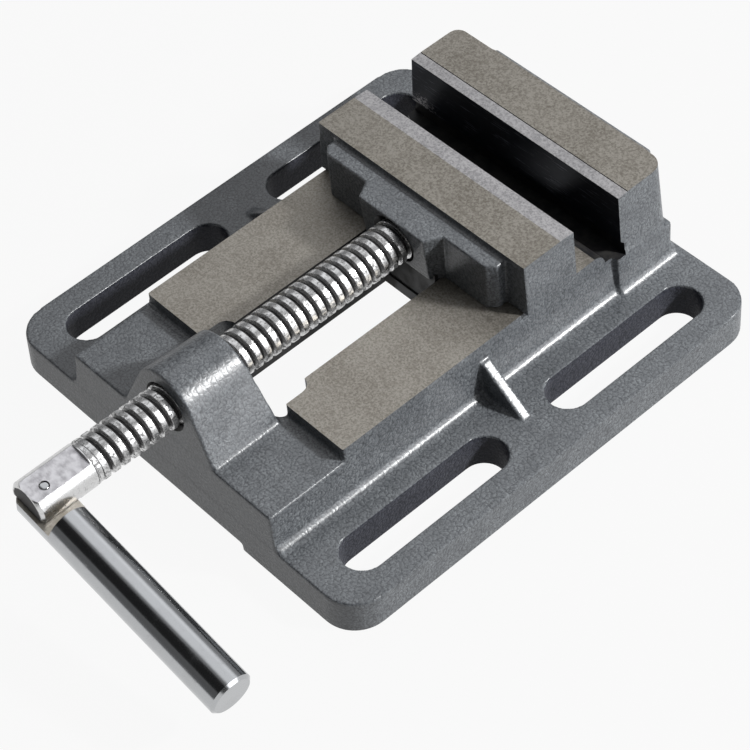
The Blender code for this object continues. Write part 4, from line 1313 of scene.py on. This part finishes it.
@dataclass
class MovingJaw:
    """The moving jaw in one casting: slab, rear ledge, thrust boss and guide tongue."""

    layout: Layout
    thickness: float = 0.0229
    bevel: float = 0.006
    ledge_length: float = 0.0067
    ledge_drop: float = 0.0023
    ledge_inset: float = 0.0085
    ledge_corner: float = 0.003
    thrust_length: float = 0.0064
    thrust_width: float = 0.031
    thrust_root_width: float = 0.038
    thrust_lean: float = 0.002
    tongue_setback: float = 0.0096
    tongue_length: float = 0.0235
    counterbore_depth: float = 0.008
    nose_bore: float = 0.006
    nose_length: float = 0.0173
    pin_bore: float = 0.0023
    screw_bore: float = 0.0028
    grain: float = 0.0004
    passes: int = 6

    @property
    def slab_back(self) -> float:
        """Return the place of the slab's back."""
        return self.layout.moving_face - self.thickness

    @property
    def thrust_back(self) -> float:
        """Return the place of the thrust boss's face."""
        return self.slab_back - self.ledge_length - self.thrust_length

    def _slab(self) -> Workpiece:
        """Return the slab, with an allowance on its face, its top and its underside."""
        layout = self.layout
        face = layout.moving_face + MILLING_ALLOWANCE
        low = layout.rail_height - MILLING_ALLOWANCE
        high = layout.jaw_top + MILLING_ALLOWANCE
        outline = [(face, low), (face, high), (self.slab_back, high), (self.slab_back, low)]
        piece = Workpiece.prism("jaw", outline, -1, 1, Axis.X)
        draft = layout.jaw_draft / (layout.jaw_top - layout.rail_height)

        def move(x: float, y: float, z: float) -> Place:
            """Set one point to the slab's half width at its height."""
            return (x * (layout.jaw_width / 2 + draft * (layout.jaw_top - z)), y, z)

        return piece.reshape(move)

    def _back(self) -> list[Workpiece]:
        """Return the lower block behind the slab and the boss that takes the screw's thrust."""
        layout = self.layout
        foot = layout.rail_height - MILLING_ALLOWANCE
        top = layout.jaw_top - self.ledge_drop
        half = layout.jaw_width / 2 - self.ledge_inset
        front = self.slab_back + SINK
        ledge_back = self.slab_back - self.ledge_length
        corner = self.ledge_corner
        right = [(half, front), (half, ledge_back + corner), (half - corner, ledge_back)]
        boss = [
            (self.thrust_root_width / 2, front),
            (self.thrust_root_width / 2, ledge_back),
            (self.thrust_width / 2, self.thrust_back),
        ]

        def move(x: float, y: float, z: float) -> Place:
            """Draw in one point of the boss's face at its foot."""
            low = z < (foot + top) / 2 and y < ledge_back - RUNNING_GAP
            return (x, y + self.thrust_lean if low else y, z)

        ledge = Workpiece.prism("ledge", mirrored(right), foot, top)
        return [ledge, Workpiece.prism("thrust_boss", mirrored(boss), foot, top).reshape(move)]

    def _milling(self) -> list[Workpiece]:
        """Return what the mill takes from the face, the bevel, the top and the underside."""
        layout = self.layout
        face, top = layout.moving_face, layout.jaw_top
        far = face + OVERRUN
        sky = top + 2 * OVERRUN
        path = [
            ((far, layout.rail_height - OVERRUN), Casting.FACE.value),
            ((face, layout.rail_height - OVERRUN), Casting.FACE.value),
            ((face, top - layout.bevel_drop), Casting.BEVEL.value),
            ((face - self.bevel, top), Casting.TOP.value),
            ((self.slab_back - OVERRUN, top), Casting.TOP.value),
            ((self.slab_back - OVERRUN, sky), Casting.TOP.value),
            ((far, sky), Casting.TOP.value),
        ]
        half = layout.jaw_foot_width / 2 + OVERRUN
        outline = [point for point, _ in path]
        upper = Workpiece.prism("milling", outline, -half, half, Axis.X, [number for _, number in path])
        low = (-half, self.thrust_back - OVERRUN, layout.rail_height - 2 * OVERRUN)
        high = (half, far, layout.rail_height + RUNNING_GAP)
        return [upper, Workpiece.box("underside", low, high, Casting.RAIL.value)]

    def _tongue(self) -> Workpiece:
        """Return the machined tongue that runs between the rails."""
        layout = self.layout
        half = layout.channel_width / 2 - RUNNING_GAP
        front = layout.moving_face - self.tongue_setback
        low = (-half, front - self.tongue_length, layout.rail_underside)
        high = (half, front, layout.rail_height + RUNNING_GAP + SINK)
        return Workpiece.box("tongue", low, high, Casting.SHADED.value).round_edges(RUNNING_GAP)

    def _bores(self) -> list[Workpiece]:
        """Return the blind holes for the screw, its nose, the retaining pins and the keeper's screws."""
        layout = self.layout
        shaded = Casting.SHADED.value
        centre = (0, layout.screw_height)
        floor = self.thrust_back + self.counterbore_depth + RUNNING_GAP
        end = floor + self.nose_length
        wide = layout.screw_bore + self.thrust_lean
        entry = self.thrust_back + RUNNING_GAP
        profile = [
            (0, entry - OVERRUN), (wide + OVERRUN, entry - OVERRUN),
            (layout.screw_bore, entry + self.thrust_lean), (layout.screw_bore, floor),
            (self.nose_bore, floor), (self.nose_bore, end), (0, end),
        ]
        made = [Workpiece.lathe("screw_bore", profile, Axis.Y, centre, finish=shaded)]
        low = layout.rail_underside - OVERRUN
        fitted = [("pin_bore", self.pin_bore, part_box(f"retaining_pin_{side}")) for side in SIDES]
        fitted += [
            ("tapped_hole", self.screw_bore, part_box(f"keeper_screw_{number}")) for number in FASTENERS
        ]
        for name, radius, (near, far) in fitted:
            middle = ((near + far) / 2).xy
            made.append(Workpiece.rod(name, radius, low, far.z + RUNNING_GAP, Axis.Z, middle, finish=shaded))
        return made

    def build(self) -> None:
        """Cast, mill, dress and place the jaw."""
        piece = self._slab().join(*self._back())
        piece.cast(self.grain, self.passes)
        piece.dress(*CASTING_FINISHES)
        piece.cut(*self._milling()).join(self._tongue()).cut(*self._bores())
        piece.merge_flats().shade()
        piece.hand_over(IDENTITY, "jaw", "painted_casting", "moving_jaw")


@dataclass(frozen=True)
class ThreadForm:
    """Form of a thread: shares of its pitch and of its depth, from the root up, for each point."""

    pitch: float
    depth: float
    crest: float
    shares: tuple[Point, ...]
    columns: int = 64
    spare_turns: int = 2

    def cut(self, name: str, start: float, end: float, axis: Axis) -> Workpiece:
        """Make a threaded rod as a helical band of faces, cut square at both ends.

        Args:
            name: Name of the shape.
            start: Where the rod starts along its axis.
            end: Where it ends.
            axis: The axis.

        Returns:
            The threaded rod.
        """
        shape = bmesh.new()
        steps = len(self.shares)
        turns = int((end - start) / self.pitch) + 2 * self.spare_turns
        first = start - self.spare_turns * self.pitch
        rings = []
        for column in range(self.columns):
            share = column / self.columns
            across, up = sin(2 * pi * share), cos(2 * pi * share)
            ring = []
            for row in range(turns * steps):
                turn, number = divmod(row, steps)
                along_share, depth_share = self.shares[number]
                along = first + self.pitch * (turn + along_share + share)
                radius = self.crest - self.depth * (1 - depth_share)
                ring.append(shape.verts.new((radius * across, radius * up, along)))
            rings.append(ring)
        for number, near in enumerate(rings):
            far = rings[0][steps:] if number == self.columns - 1 else rings[number + 1]
            for row in range(len(far) - 1):
                shape.faces.new((near[row], near[row + 1], far[row + 1], far[row]))
        for place, outward in ((start, -1), (end, 1)):
            everything = shape.verts[:] + shape.edges[:] + shape.faces[:]
            made = bmesh.ops.bisect_plane(
                shape, geom=everything, plane_co=(0, 0, place), plane_no=(0, 0, outward), clear_outer=True
            )
            rim = [item for item in made["geom_cut"] if isinstance(item, bmesh.types.BMEdge)]
            bmesh.ops.contextual_create(shape, geom=rim)
        shape.transform(axis.turn())
        return Workpiece(name, shape, dense=True)


TRAPEZOIDAL_SHARES = (
    (0.030, 0.02), (0.150, 0.00), (0.270, 0.02), (0.310, 0.14), (0.370, 0.86), (0.390, 0.95),
    (0.420, 1.00), (0.890, 1.00), (0.920, 0.95), (0.940, 0.86), (0.990, 0.14),
)
METRIC_SHARES = ((0.0, 0.0), (0.44, 0.9), (0.5, 1.0), (0.56, 0.9))


def screw_frame(joint: str) -> Matrix:
    """Return the frame of the screw or the handle at rest.

    Args:
        joint: Name of the joint whose place is the frame's origin.

    Returns:
        A frame with +Y along the screw and +Z square to the milled flat.
    """
    joints = {entry["name"]: entry for entry in frame["joints"]}
    up = -Vector(joints["handle_fold"]["axis"]).normalized()
    along = Vector(joints["screw_turn"]["axis"]).normalized()
    turned = Matrix((along.cross(up), along, up)).transposed().to_4x4()
    return Matrix.Translation(joints[joint]["pos_m"]) @ turned


class Steel(Enum):
    """Numbers of the finishes on a steel piece."""

    PLATE = 0
    MILLED = 1


@dataclass
class LeadScrew:
    """The trapezoidal screw, with its flattened and lapped outer end and its grooved nose."""

    radius: float = 0.008
    depth: float = 0.002
    pitch: float = 0.004
    thread_length: float = 0.141
    shank_radius: float = 0.0081
    shank_length: float = 0.0228
    shank_chamfer: float = 0.001
    flat_height: float = 0.0066
    flat_length: float = 0.022
    lap_length: float = 0.0158
    lap_height: float = -0.0018
    hinge_place: Point = (0.0012, -0.1575)
    hinge_bore: float = 0.0018
    nose_radius: float = 0.0057
    nose_length: float = 0.017
    nose_groove_radius: float = 0.0042
    nose_groove_place: float = 0.0079
    nose_groove_half: float = 0.0023
    edge: float = 0.00035

    @property
    def end(self) -> float:
        """Return the place of the screw's outer end along its axis."""
        return -self.thread_length - self.shank_length

    def _shank(self) -> Workpiece:
        """Return the plain outer end, with its flat, its lap and the hinge's hole."""
        inner = SINK - self.thread_length
        profile = [
            (0, inner), (self.shank_radius - self.edge, inner), (self.shank_radius - self.edge, inner - SINK),
            (self.shank_radius, inner - SINK - self.edge), (self.shank_radius, self.end + self.shank_chamfer),
            (self.shank_radius - self.shank_chamfer, self.end), (0, self.end),
        ]
        piece = Workpiece.lathe("shank", profile, Axis.Y, segments=FINE_FACETS)
        reach = self.shank_radius + OVERRUN
        low = (-reach, self.end - OVERRUN, self.flat_height)
        piece.cut(Workpiece.box("flat", low, (reach, self.end + self.flat_length, reach), Steel.MILLED.value))
        low = (-reach, self.end - OVERRUN, -reach)
        high = (reach, self.end + self.lap_length, self.lap_height)
        piece.cut(Workpiece.box("lap", low, high, Steel.MILLED.value))
        hole = Workpiece.rod("hinge_hole", self.hinge_bore, -reach, reach, Axis.Z, self.hinge_place)
        return piece.cut(hole).round_edges(self.edge, steps=3)

    def _nose(self) -> Workpiece:
        """Return the plain nose with the groove that the retaining pins run in."""
        near = self.nose_groove_place - self.nose_groove_half
        far = self.nose_groove_place + self.nose_groove_half
        profile = [
            (0, -SINK), (self.nose_radius, -SINK), (self.nose_radius, near),
            (self.nose_groove_radius, near), (self.nose_groove_radius, far), (self.nose_radius, far),
            (self.nose_radius, self.nose_length - self.edge),
            (self.nose_radius - self.edge, self.nose_length), (0, self.nose_length),
        ]
        return Workpiece.lathe("nose", profile, Axis.Y)

    def build(self) -> None:
        """Thread, turn, mill, dress and place the screw."""
        form = ThreadForm(self.pitch, self.depth, self.radius, TRAPEZOIDAL_SHARES)
        piece = form.cut("screw", -self.thread_length, 0, Axis.Y).dress(THREAD, MILLED)
        piece.join(self._shank(), self._nose()).shade(angle=50)
        piece.hand_over(screw_frame("screw_turn"), "screw", "zinc_plated_steel", "lead_screw")


@dataclass
class Handle:
    """The round bar that folds on the screw's end, and the pin that it is hinged on."""

    radius: float = 0.008
    length: float = 0.089
    chamfer: float = 0.001
    end_radius: float = 0.0092
    tongue_top: float = 0.0023
    tongue_bottom: float = -0.0025
    shoulder: float = 0.011
    bore: float = 0.0023
    edge: float = 0.0004
    pin_radius: float = 0.0017
    pin_head_radius: float = 0.0033
    pin_head_height: float = 0.001
    pin_dome: float = 0.00025

    def _bar(self) -> None:
        """Turn, mill, dress and place the bar."""
        start = -self.end_radius - OVERRUN
        profile = [
            (0, start), (self.radius, start), (self.radius, self.length - self.chamfer),
            (self.radius - self.chamfer, self.length), (0, self.length),
        ]
        piece = Workpiece.lathe("handle", profile, Axis.X, segments=FINE_FACETS)
        reach = self.radius + OVERRUN
        near = start - OVERRUN
        milled = Steel.MILLED.value
        low = (near, -reach, self.tongue_top)
        piece.cut(Workpiece.box("tongue_top", low, (self.shoulder, reach, reach), milled))
        high = (self.shoulder, reach, self.tongue_bottom)
        piece.cut(Workpiece.box("tongue_underside", (near, -reach, -reach), high, milled))
        outline = arc((0, 0), self.end_radius, 90, 270, steps=4 * CORNER_STEPS)
        far = self.length + OVERRUN
        outline += [(far, -self.end_radius), (far, self.end_radius)]
        piece.keep(Workpiece.prism("tongue_round", outline, -reach, reach))
        piece.cut(Workpiece.rod("hinge_hole", self.bore, -reach, reach, Axis.Z))
        piece.dress(BRIGHT, MILLED_TONGUE)
        piece.round_edges(self.edge, steps=3).shade()
        piece.hand_over(screw_frame("handle_fold"), "handle", "bright_steel", "handle_bar")

    def _pin(self) -> None:
        """Turn, dress and place the hinge pin, with a slightly domed end and a low head."""
        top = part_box("handle_pin")[1].z
        place = screw_frame("handle_fold")
        rise = (place.inverted() @ Vector((place.translation.x, place.translation.y, top))).z
        head = self.tongue_bottom - RUNNING_GAP
        rim = self.pin_radius - self.edge / 2
        dome = arc((0, rise - self.pin_dome), rim, 90, 0, steps=CORNER_STEPS // 2, height=self.pin_dome)
        profile = [
            (0, rise), *dome[1:], (self.pin_radius, rise - self.pin_dome - self.edge / 2),
            (self.pin_radius, head), (self.pin_head_radius - self.edge / 2, head),
            (self.pin_head_radius, head - self.edge / 2),
            (self.pin_head_radius, head - self.pin_head_height + self.edge),
            (self.pin_head_radius - self.edge, head - self.pin_head_height),
            (0, head - self.pin_head_height),
        ]
        piece = Workpiece.lathe("hinge_pin", profile, Axis.Z, segments=SMALL_FACETS).dress(BRIGHT).shade()
        piece.hand_over(place, "screw", "bright_steel", "handle_pin")

    def build(self) -> None:
        """Build the bar and its pin."""
        self._bar()
        self._pin()


@dataclass
class Keeper:
    """The plate under the rails with its four screws and washers, and the two retaining pins."""

    crisp_angle: float = 30
    plate_corner: float = 0.002
    plate_edge: float = 0.0005
    screw_bore: float = 0.0028
    stem_radius: float = 0.0025
    thread_pitch: float = 0.0008
    thread_depth: float = 0.00045
    thread_columns: int = 32
    head_height: float = 0.0035
    head_chamfer: float = 0.0006
    washer_edge: float = 0.0002
    pin_chamfer: float = 0.0004

    def _plate(self) -> None:
        """Build the plate."""
        low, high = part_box("keeper_plate")
        outline = rounded_rectangle(low.x, low.y, high.x, high.y, self.plate_corner)
        piece = Workpiece.prism("keeper_plate_body", outline, low.z, high.z)
        for number in FASTENERS:
            near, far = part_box(f"keeper_screw_{number}")
            middle = ((near + far) / 2).xy
            start, end = low.z - OVERRUN, high.z + OVERRUN
            piece.cut(Workpiece.rod("hole", self.screw_bore, start, end, Axis.Z, middle))
        piece.dress(ROLLED).round_edges(self.plate_edge).shade()
        piece.hand_over(IDENTITY, "jaw", "dark_steel", "keeper_plate")

    def _screw(self, number: int) -> None:
        """Build one hexagon screw, with a chamfered head and a threaded stem."""
        low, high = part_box(f"keeper_screw_{number}")
        middle = ((low + high) / 2).xy
        corner = (high.x - low.x) / 2
        top = low.z + self.head_height
        flats = corner * cos(pi / 6)
        outline = [(corner * cos(pi * n / 3), corner * sin(pi * n / 3)) for n in range(6)]
        head = Workpiece.prism("head", outline, low.z, top)
        drop = self.head_chamfer
        cone = [
            (0, low.z - drop), (flats - drop, low.z - drop), (corner + drop, low.z + drop),
            (corner + drop, high.z), (0, high.z),
        ]
        head.keep(Workpiece.lathe("head_round", cone, Axis.Z))
        form = ThreadForm(
            self.thread_pitch, self.thread_depth, self.stem_radius, METRIC_SHARES, self.thread_columns
        )
        piece = form.cut(f"hex_screw_{number}", top - self.head_height / 2, high.z, Axis.Z)
        piece.dress(ZINC).join(head).shade()
        place = Matrix.Translation((*middle, 0))
        piece.hand_over(place, "jaw", "zinc_plated_steel", f"keeper_screw_{number}")

    def _washer(self, number: int) -> None:
        """Build one washer with rounded rims."""
        low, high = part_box(f"keeper_washer_{number}")
        middle = ((low + high) / 2).xy
        radius = (high.x - low.x) / 2
        piece = Workpiece.rod(f"washer_{number}", radius, low.z, high.z, Axis.Z, middle, self.washer_edge)
        start, end = low.z - OVERRUN, high.z + OVERRUN
        piece.cut(Workpiece.rod("hole", self.screw_bore, start, end, Axis.Z, middle))
        piece.dress(ZINC).shade(self.crisp_angle)
        piece.hand_over(IDENTITY, "jaw", "zinc_plated_steel", f"keeper_washer_{number}")

    def _retaining_pin(self, side: str) -> None:
        """Build one retaining pin with chamfered ends."""
        low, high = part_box(f"retaining_pin_{side}")
        middle = ((low + high) / 2).xy
        radius = (high.x - low.x) / 2
        name = f"nose_pin_{side}"
        piece = Workpiece.rod(name, radius, low.z, high.z, Axis.Z, middle, self.pin_chamfer)
        piece.dress(BRIGHT).shade(self.crisp_angle)
        piece.hand_over(IDENTITY, "jaw", "bright_steel", f"retaining_pin_{side}")

    def build(self) -> None:
        """Build the plate, its fasteners and the pins."""
        self._plate()
        for number in FASTENERS:
            self._screw(number)
            self._washer(number)
        for side in SIDES:
            self._retaining_pin(side)


@dataclass(frozen=True)
class SkyPatch:
    """A round patch of the studio's sky, plain within its inner angle and gone beyond its outer one."""

    towards: Place
    inner: float
    outer: float
    level: float


@dataclass
class Studio:
    """Pale floor, soft light and the camera of the photograph."""

    floor_half: float = 30.0
    floor_drop: float = 0.0001
    floor_colour: float = 0.22
    floor_white_share: float = 0.93
    sky_colour: Colour = (0.97, 0.98, 1.0)
    sky_rise: Band = Band(0.02, 0.07, 0.80, 0.24)
    patches: tuple[SkyPatch, ...] = (
        SkyPatch((0.85, -0.40, 0.15), 20, 45, 0.08),
        SkyPatch((0.32, -0.90, 0.28), 20, 50, 0.08),
        SkyPatch((0.91, 0.39, 0.10), 9, 24, 4.00),
        SkyPatch((-0.50, 0.50, 0.70), 15, 42, 1.30),
        SkyPatch((-0.22, 0.36, 0.91), 12, 24, 1.10),
        SkyPatch((-0.33, 0.89, 0.20), 10, 26, 0.35),
        SkyPatch((-0.83, 0.36, 0.42), 10, 26, 0.22),
        SkyPatch((-0.24, -0.50, 0.83), 19, 23, 0.02),
    )
    key_towards: Place = (0.66, 0.40, 0.62)
    key_distance: float = 1.0
    key_size: Point = (0.09, 0.09)
    key_power: float = 12.0
    camera_place: Place = (0.47758, -0.44384, 0.68174)
    camera_yaw: float = -52.40
    camera_pitch: float = 48.97
    camera_roll: float = -6.53
    camera_lens: float = 126.7
    camera_sensor: float = 36.0
    camera_shift: Point = (0.0169, 0.0017)

    def _floor(self) -> None:
        """Make the floor, which looks white where the light reaches it and keeps the shadow."""
        half = self.floor_half
        shape = bmesh.new()
        corners = [(-half, -half), (half, -half), (half, half), (-half, half)]
        shape.faces.new([shape.verts.new((x, y, -self.floor_drop)) for x, y in corners])
        floor = Workpiece("floor", shape).object
        board = Board(bpy.data.materials.new("studio_floor"))
        board.nodes.remove(board.nodes["Principled BSDF"])
        matt = board.nodes.new("ShaderNodeBsdfDiffuse")
        board.feed(matt, "Color", (self.floor_colour, self.floor_colour, self.floor_colour))
        white = board.nodes.new("ShaderNodeEmission")
        ray = board.nodes.new("ShaderNodeLightPath").outputs
        seen = board.sum("MAXIMUM", ray["Is Camera Ray"], ray["Is Glossy Ray"])
        seen = board.sum("MAXIMUM", seen, ray["Is Transmission Ray"])
        share = board.sum("MULTIPLY", seen, self.floor_white_share)
        mix = board.nodes.new("ShaderNodeMixShader")
        board.feed(mix, 0, share)
        board.feed(mix, 1, matt.outputs[0])
        board.feed(mix, 2, white.outputs[0])
        board.feed(board.nodes["Material Output"], "Surface", mix.outputs[0])
        floor.data.materials.append(board.owner)

    def _sky(self) -> None:
        """Make the sky that lights the vise: a plain level with brighter and darker patches."""
        world = bpy.data.worlds.new("studio")
        bpy.context.scene.world = world
        board = Board(world)
        direction = board.nodes.new("ShaderNodeTexCoord").outputs["Generated"]
        level = board.band(board.part(direction, Axis.Z), self.sky_rise)
        for patch in self.patches:
            near = board.measure("DOT_PRODUCT", direction, Vector(patch.towards).normalized())
            limits = Band(cos(radians(patch.outer)), cos(radians(patch.inner)))
            level = board.between(board.band(near, limits), level, patch.level)
        sky = board.nodes["Background"]
        board.feed(sky, "Color", self.sky_colour)
        board.feed(sky, "Strength", level)

    def _lamp(self) -> None:
        """Hang the soft box that draws the bright lines along the fillets."""
        lamp = bpy.data.lights.new("key", "AREA")
        lamp.shape = "RECTANGLE"
        lamp.size, lamp.size_y = self.key_size
        lamp.energy = self.key_power
        hung = bpy.data.objects.new("key", lamp)
        bpy.context.scene.collection.objects.link(hung)
        towards = Vector(self.key_towards).normalized()
        hung.location = towards * self.key_distance
        hung.rotation_euler = towards.to_track_quat("Z", "Y").to_euler()

    def _camera(self) -> None:
        """Set the camera where the photograph was taken from."""
        yaw, pitch, roll = (radians(a) for a in (self.camera_yaw, self.camera_pitch, self.camera_roll))
        forward = Vector((sin(yaw) * cos(pitch), cos(yaw) * cos(pitch), -sin(pitch)))
        level = Vector((cos(yaw), -sin(yaw), 0))
        above = level.cross(forward)
        right = cos(roll) * level + sin(roll) * above
        up = cos(roll) * above - sin(roll) * level
        camera = bpy.data.cameras.new("camera")
        camera.lens = self.camera_lens
        camera.sensor_width = self.camera_sensor
        camera.shift_x, camera.shift_y = self.camera_shift
        stand = bpy.data.objects.new("camera", camera)
        turned = Matrix((right, up, -forward)).transposed().to_4x4()
        stand.matrix_world = Matrix.Translation(self.camera_place) @ turned
        bpy.context.scene.collection.objects.link(stand)
        bpy.context.scene.camera = stand

    def build(self) -> None:
        """Set up the studio."""
        self._camera()
        self._floor()
        self._sky()
        self._lamp()
        bpy.context.scene.view_settings.view_transform = "Standard"
        log.info("studio ready")


def main() -> None:
    """Build the studio and every piece of the vise in order."""
    logging.basicConfig(level=logging.INFO, format="%(name)s: %(message)s", stream=sys.stdout)
    layout = Layout.from_frame()
    Studio().build()
    BaseCasting(layout).build()
    MovingJaw(layout).build()
    LeadScrew().build()
    Handle().build()
    Keeper().build()


if __name__ == "__main__":
    main()
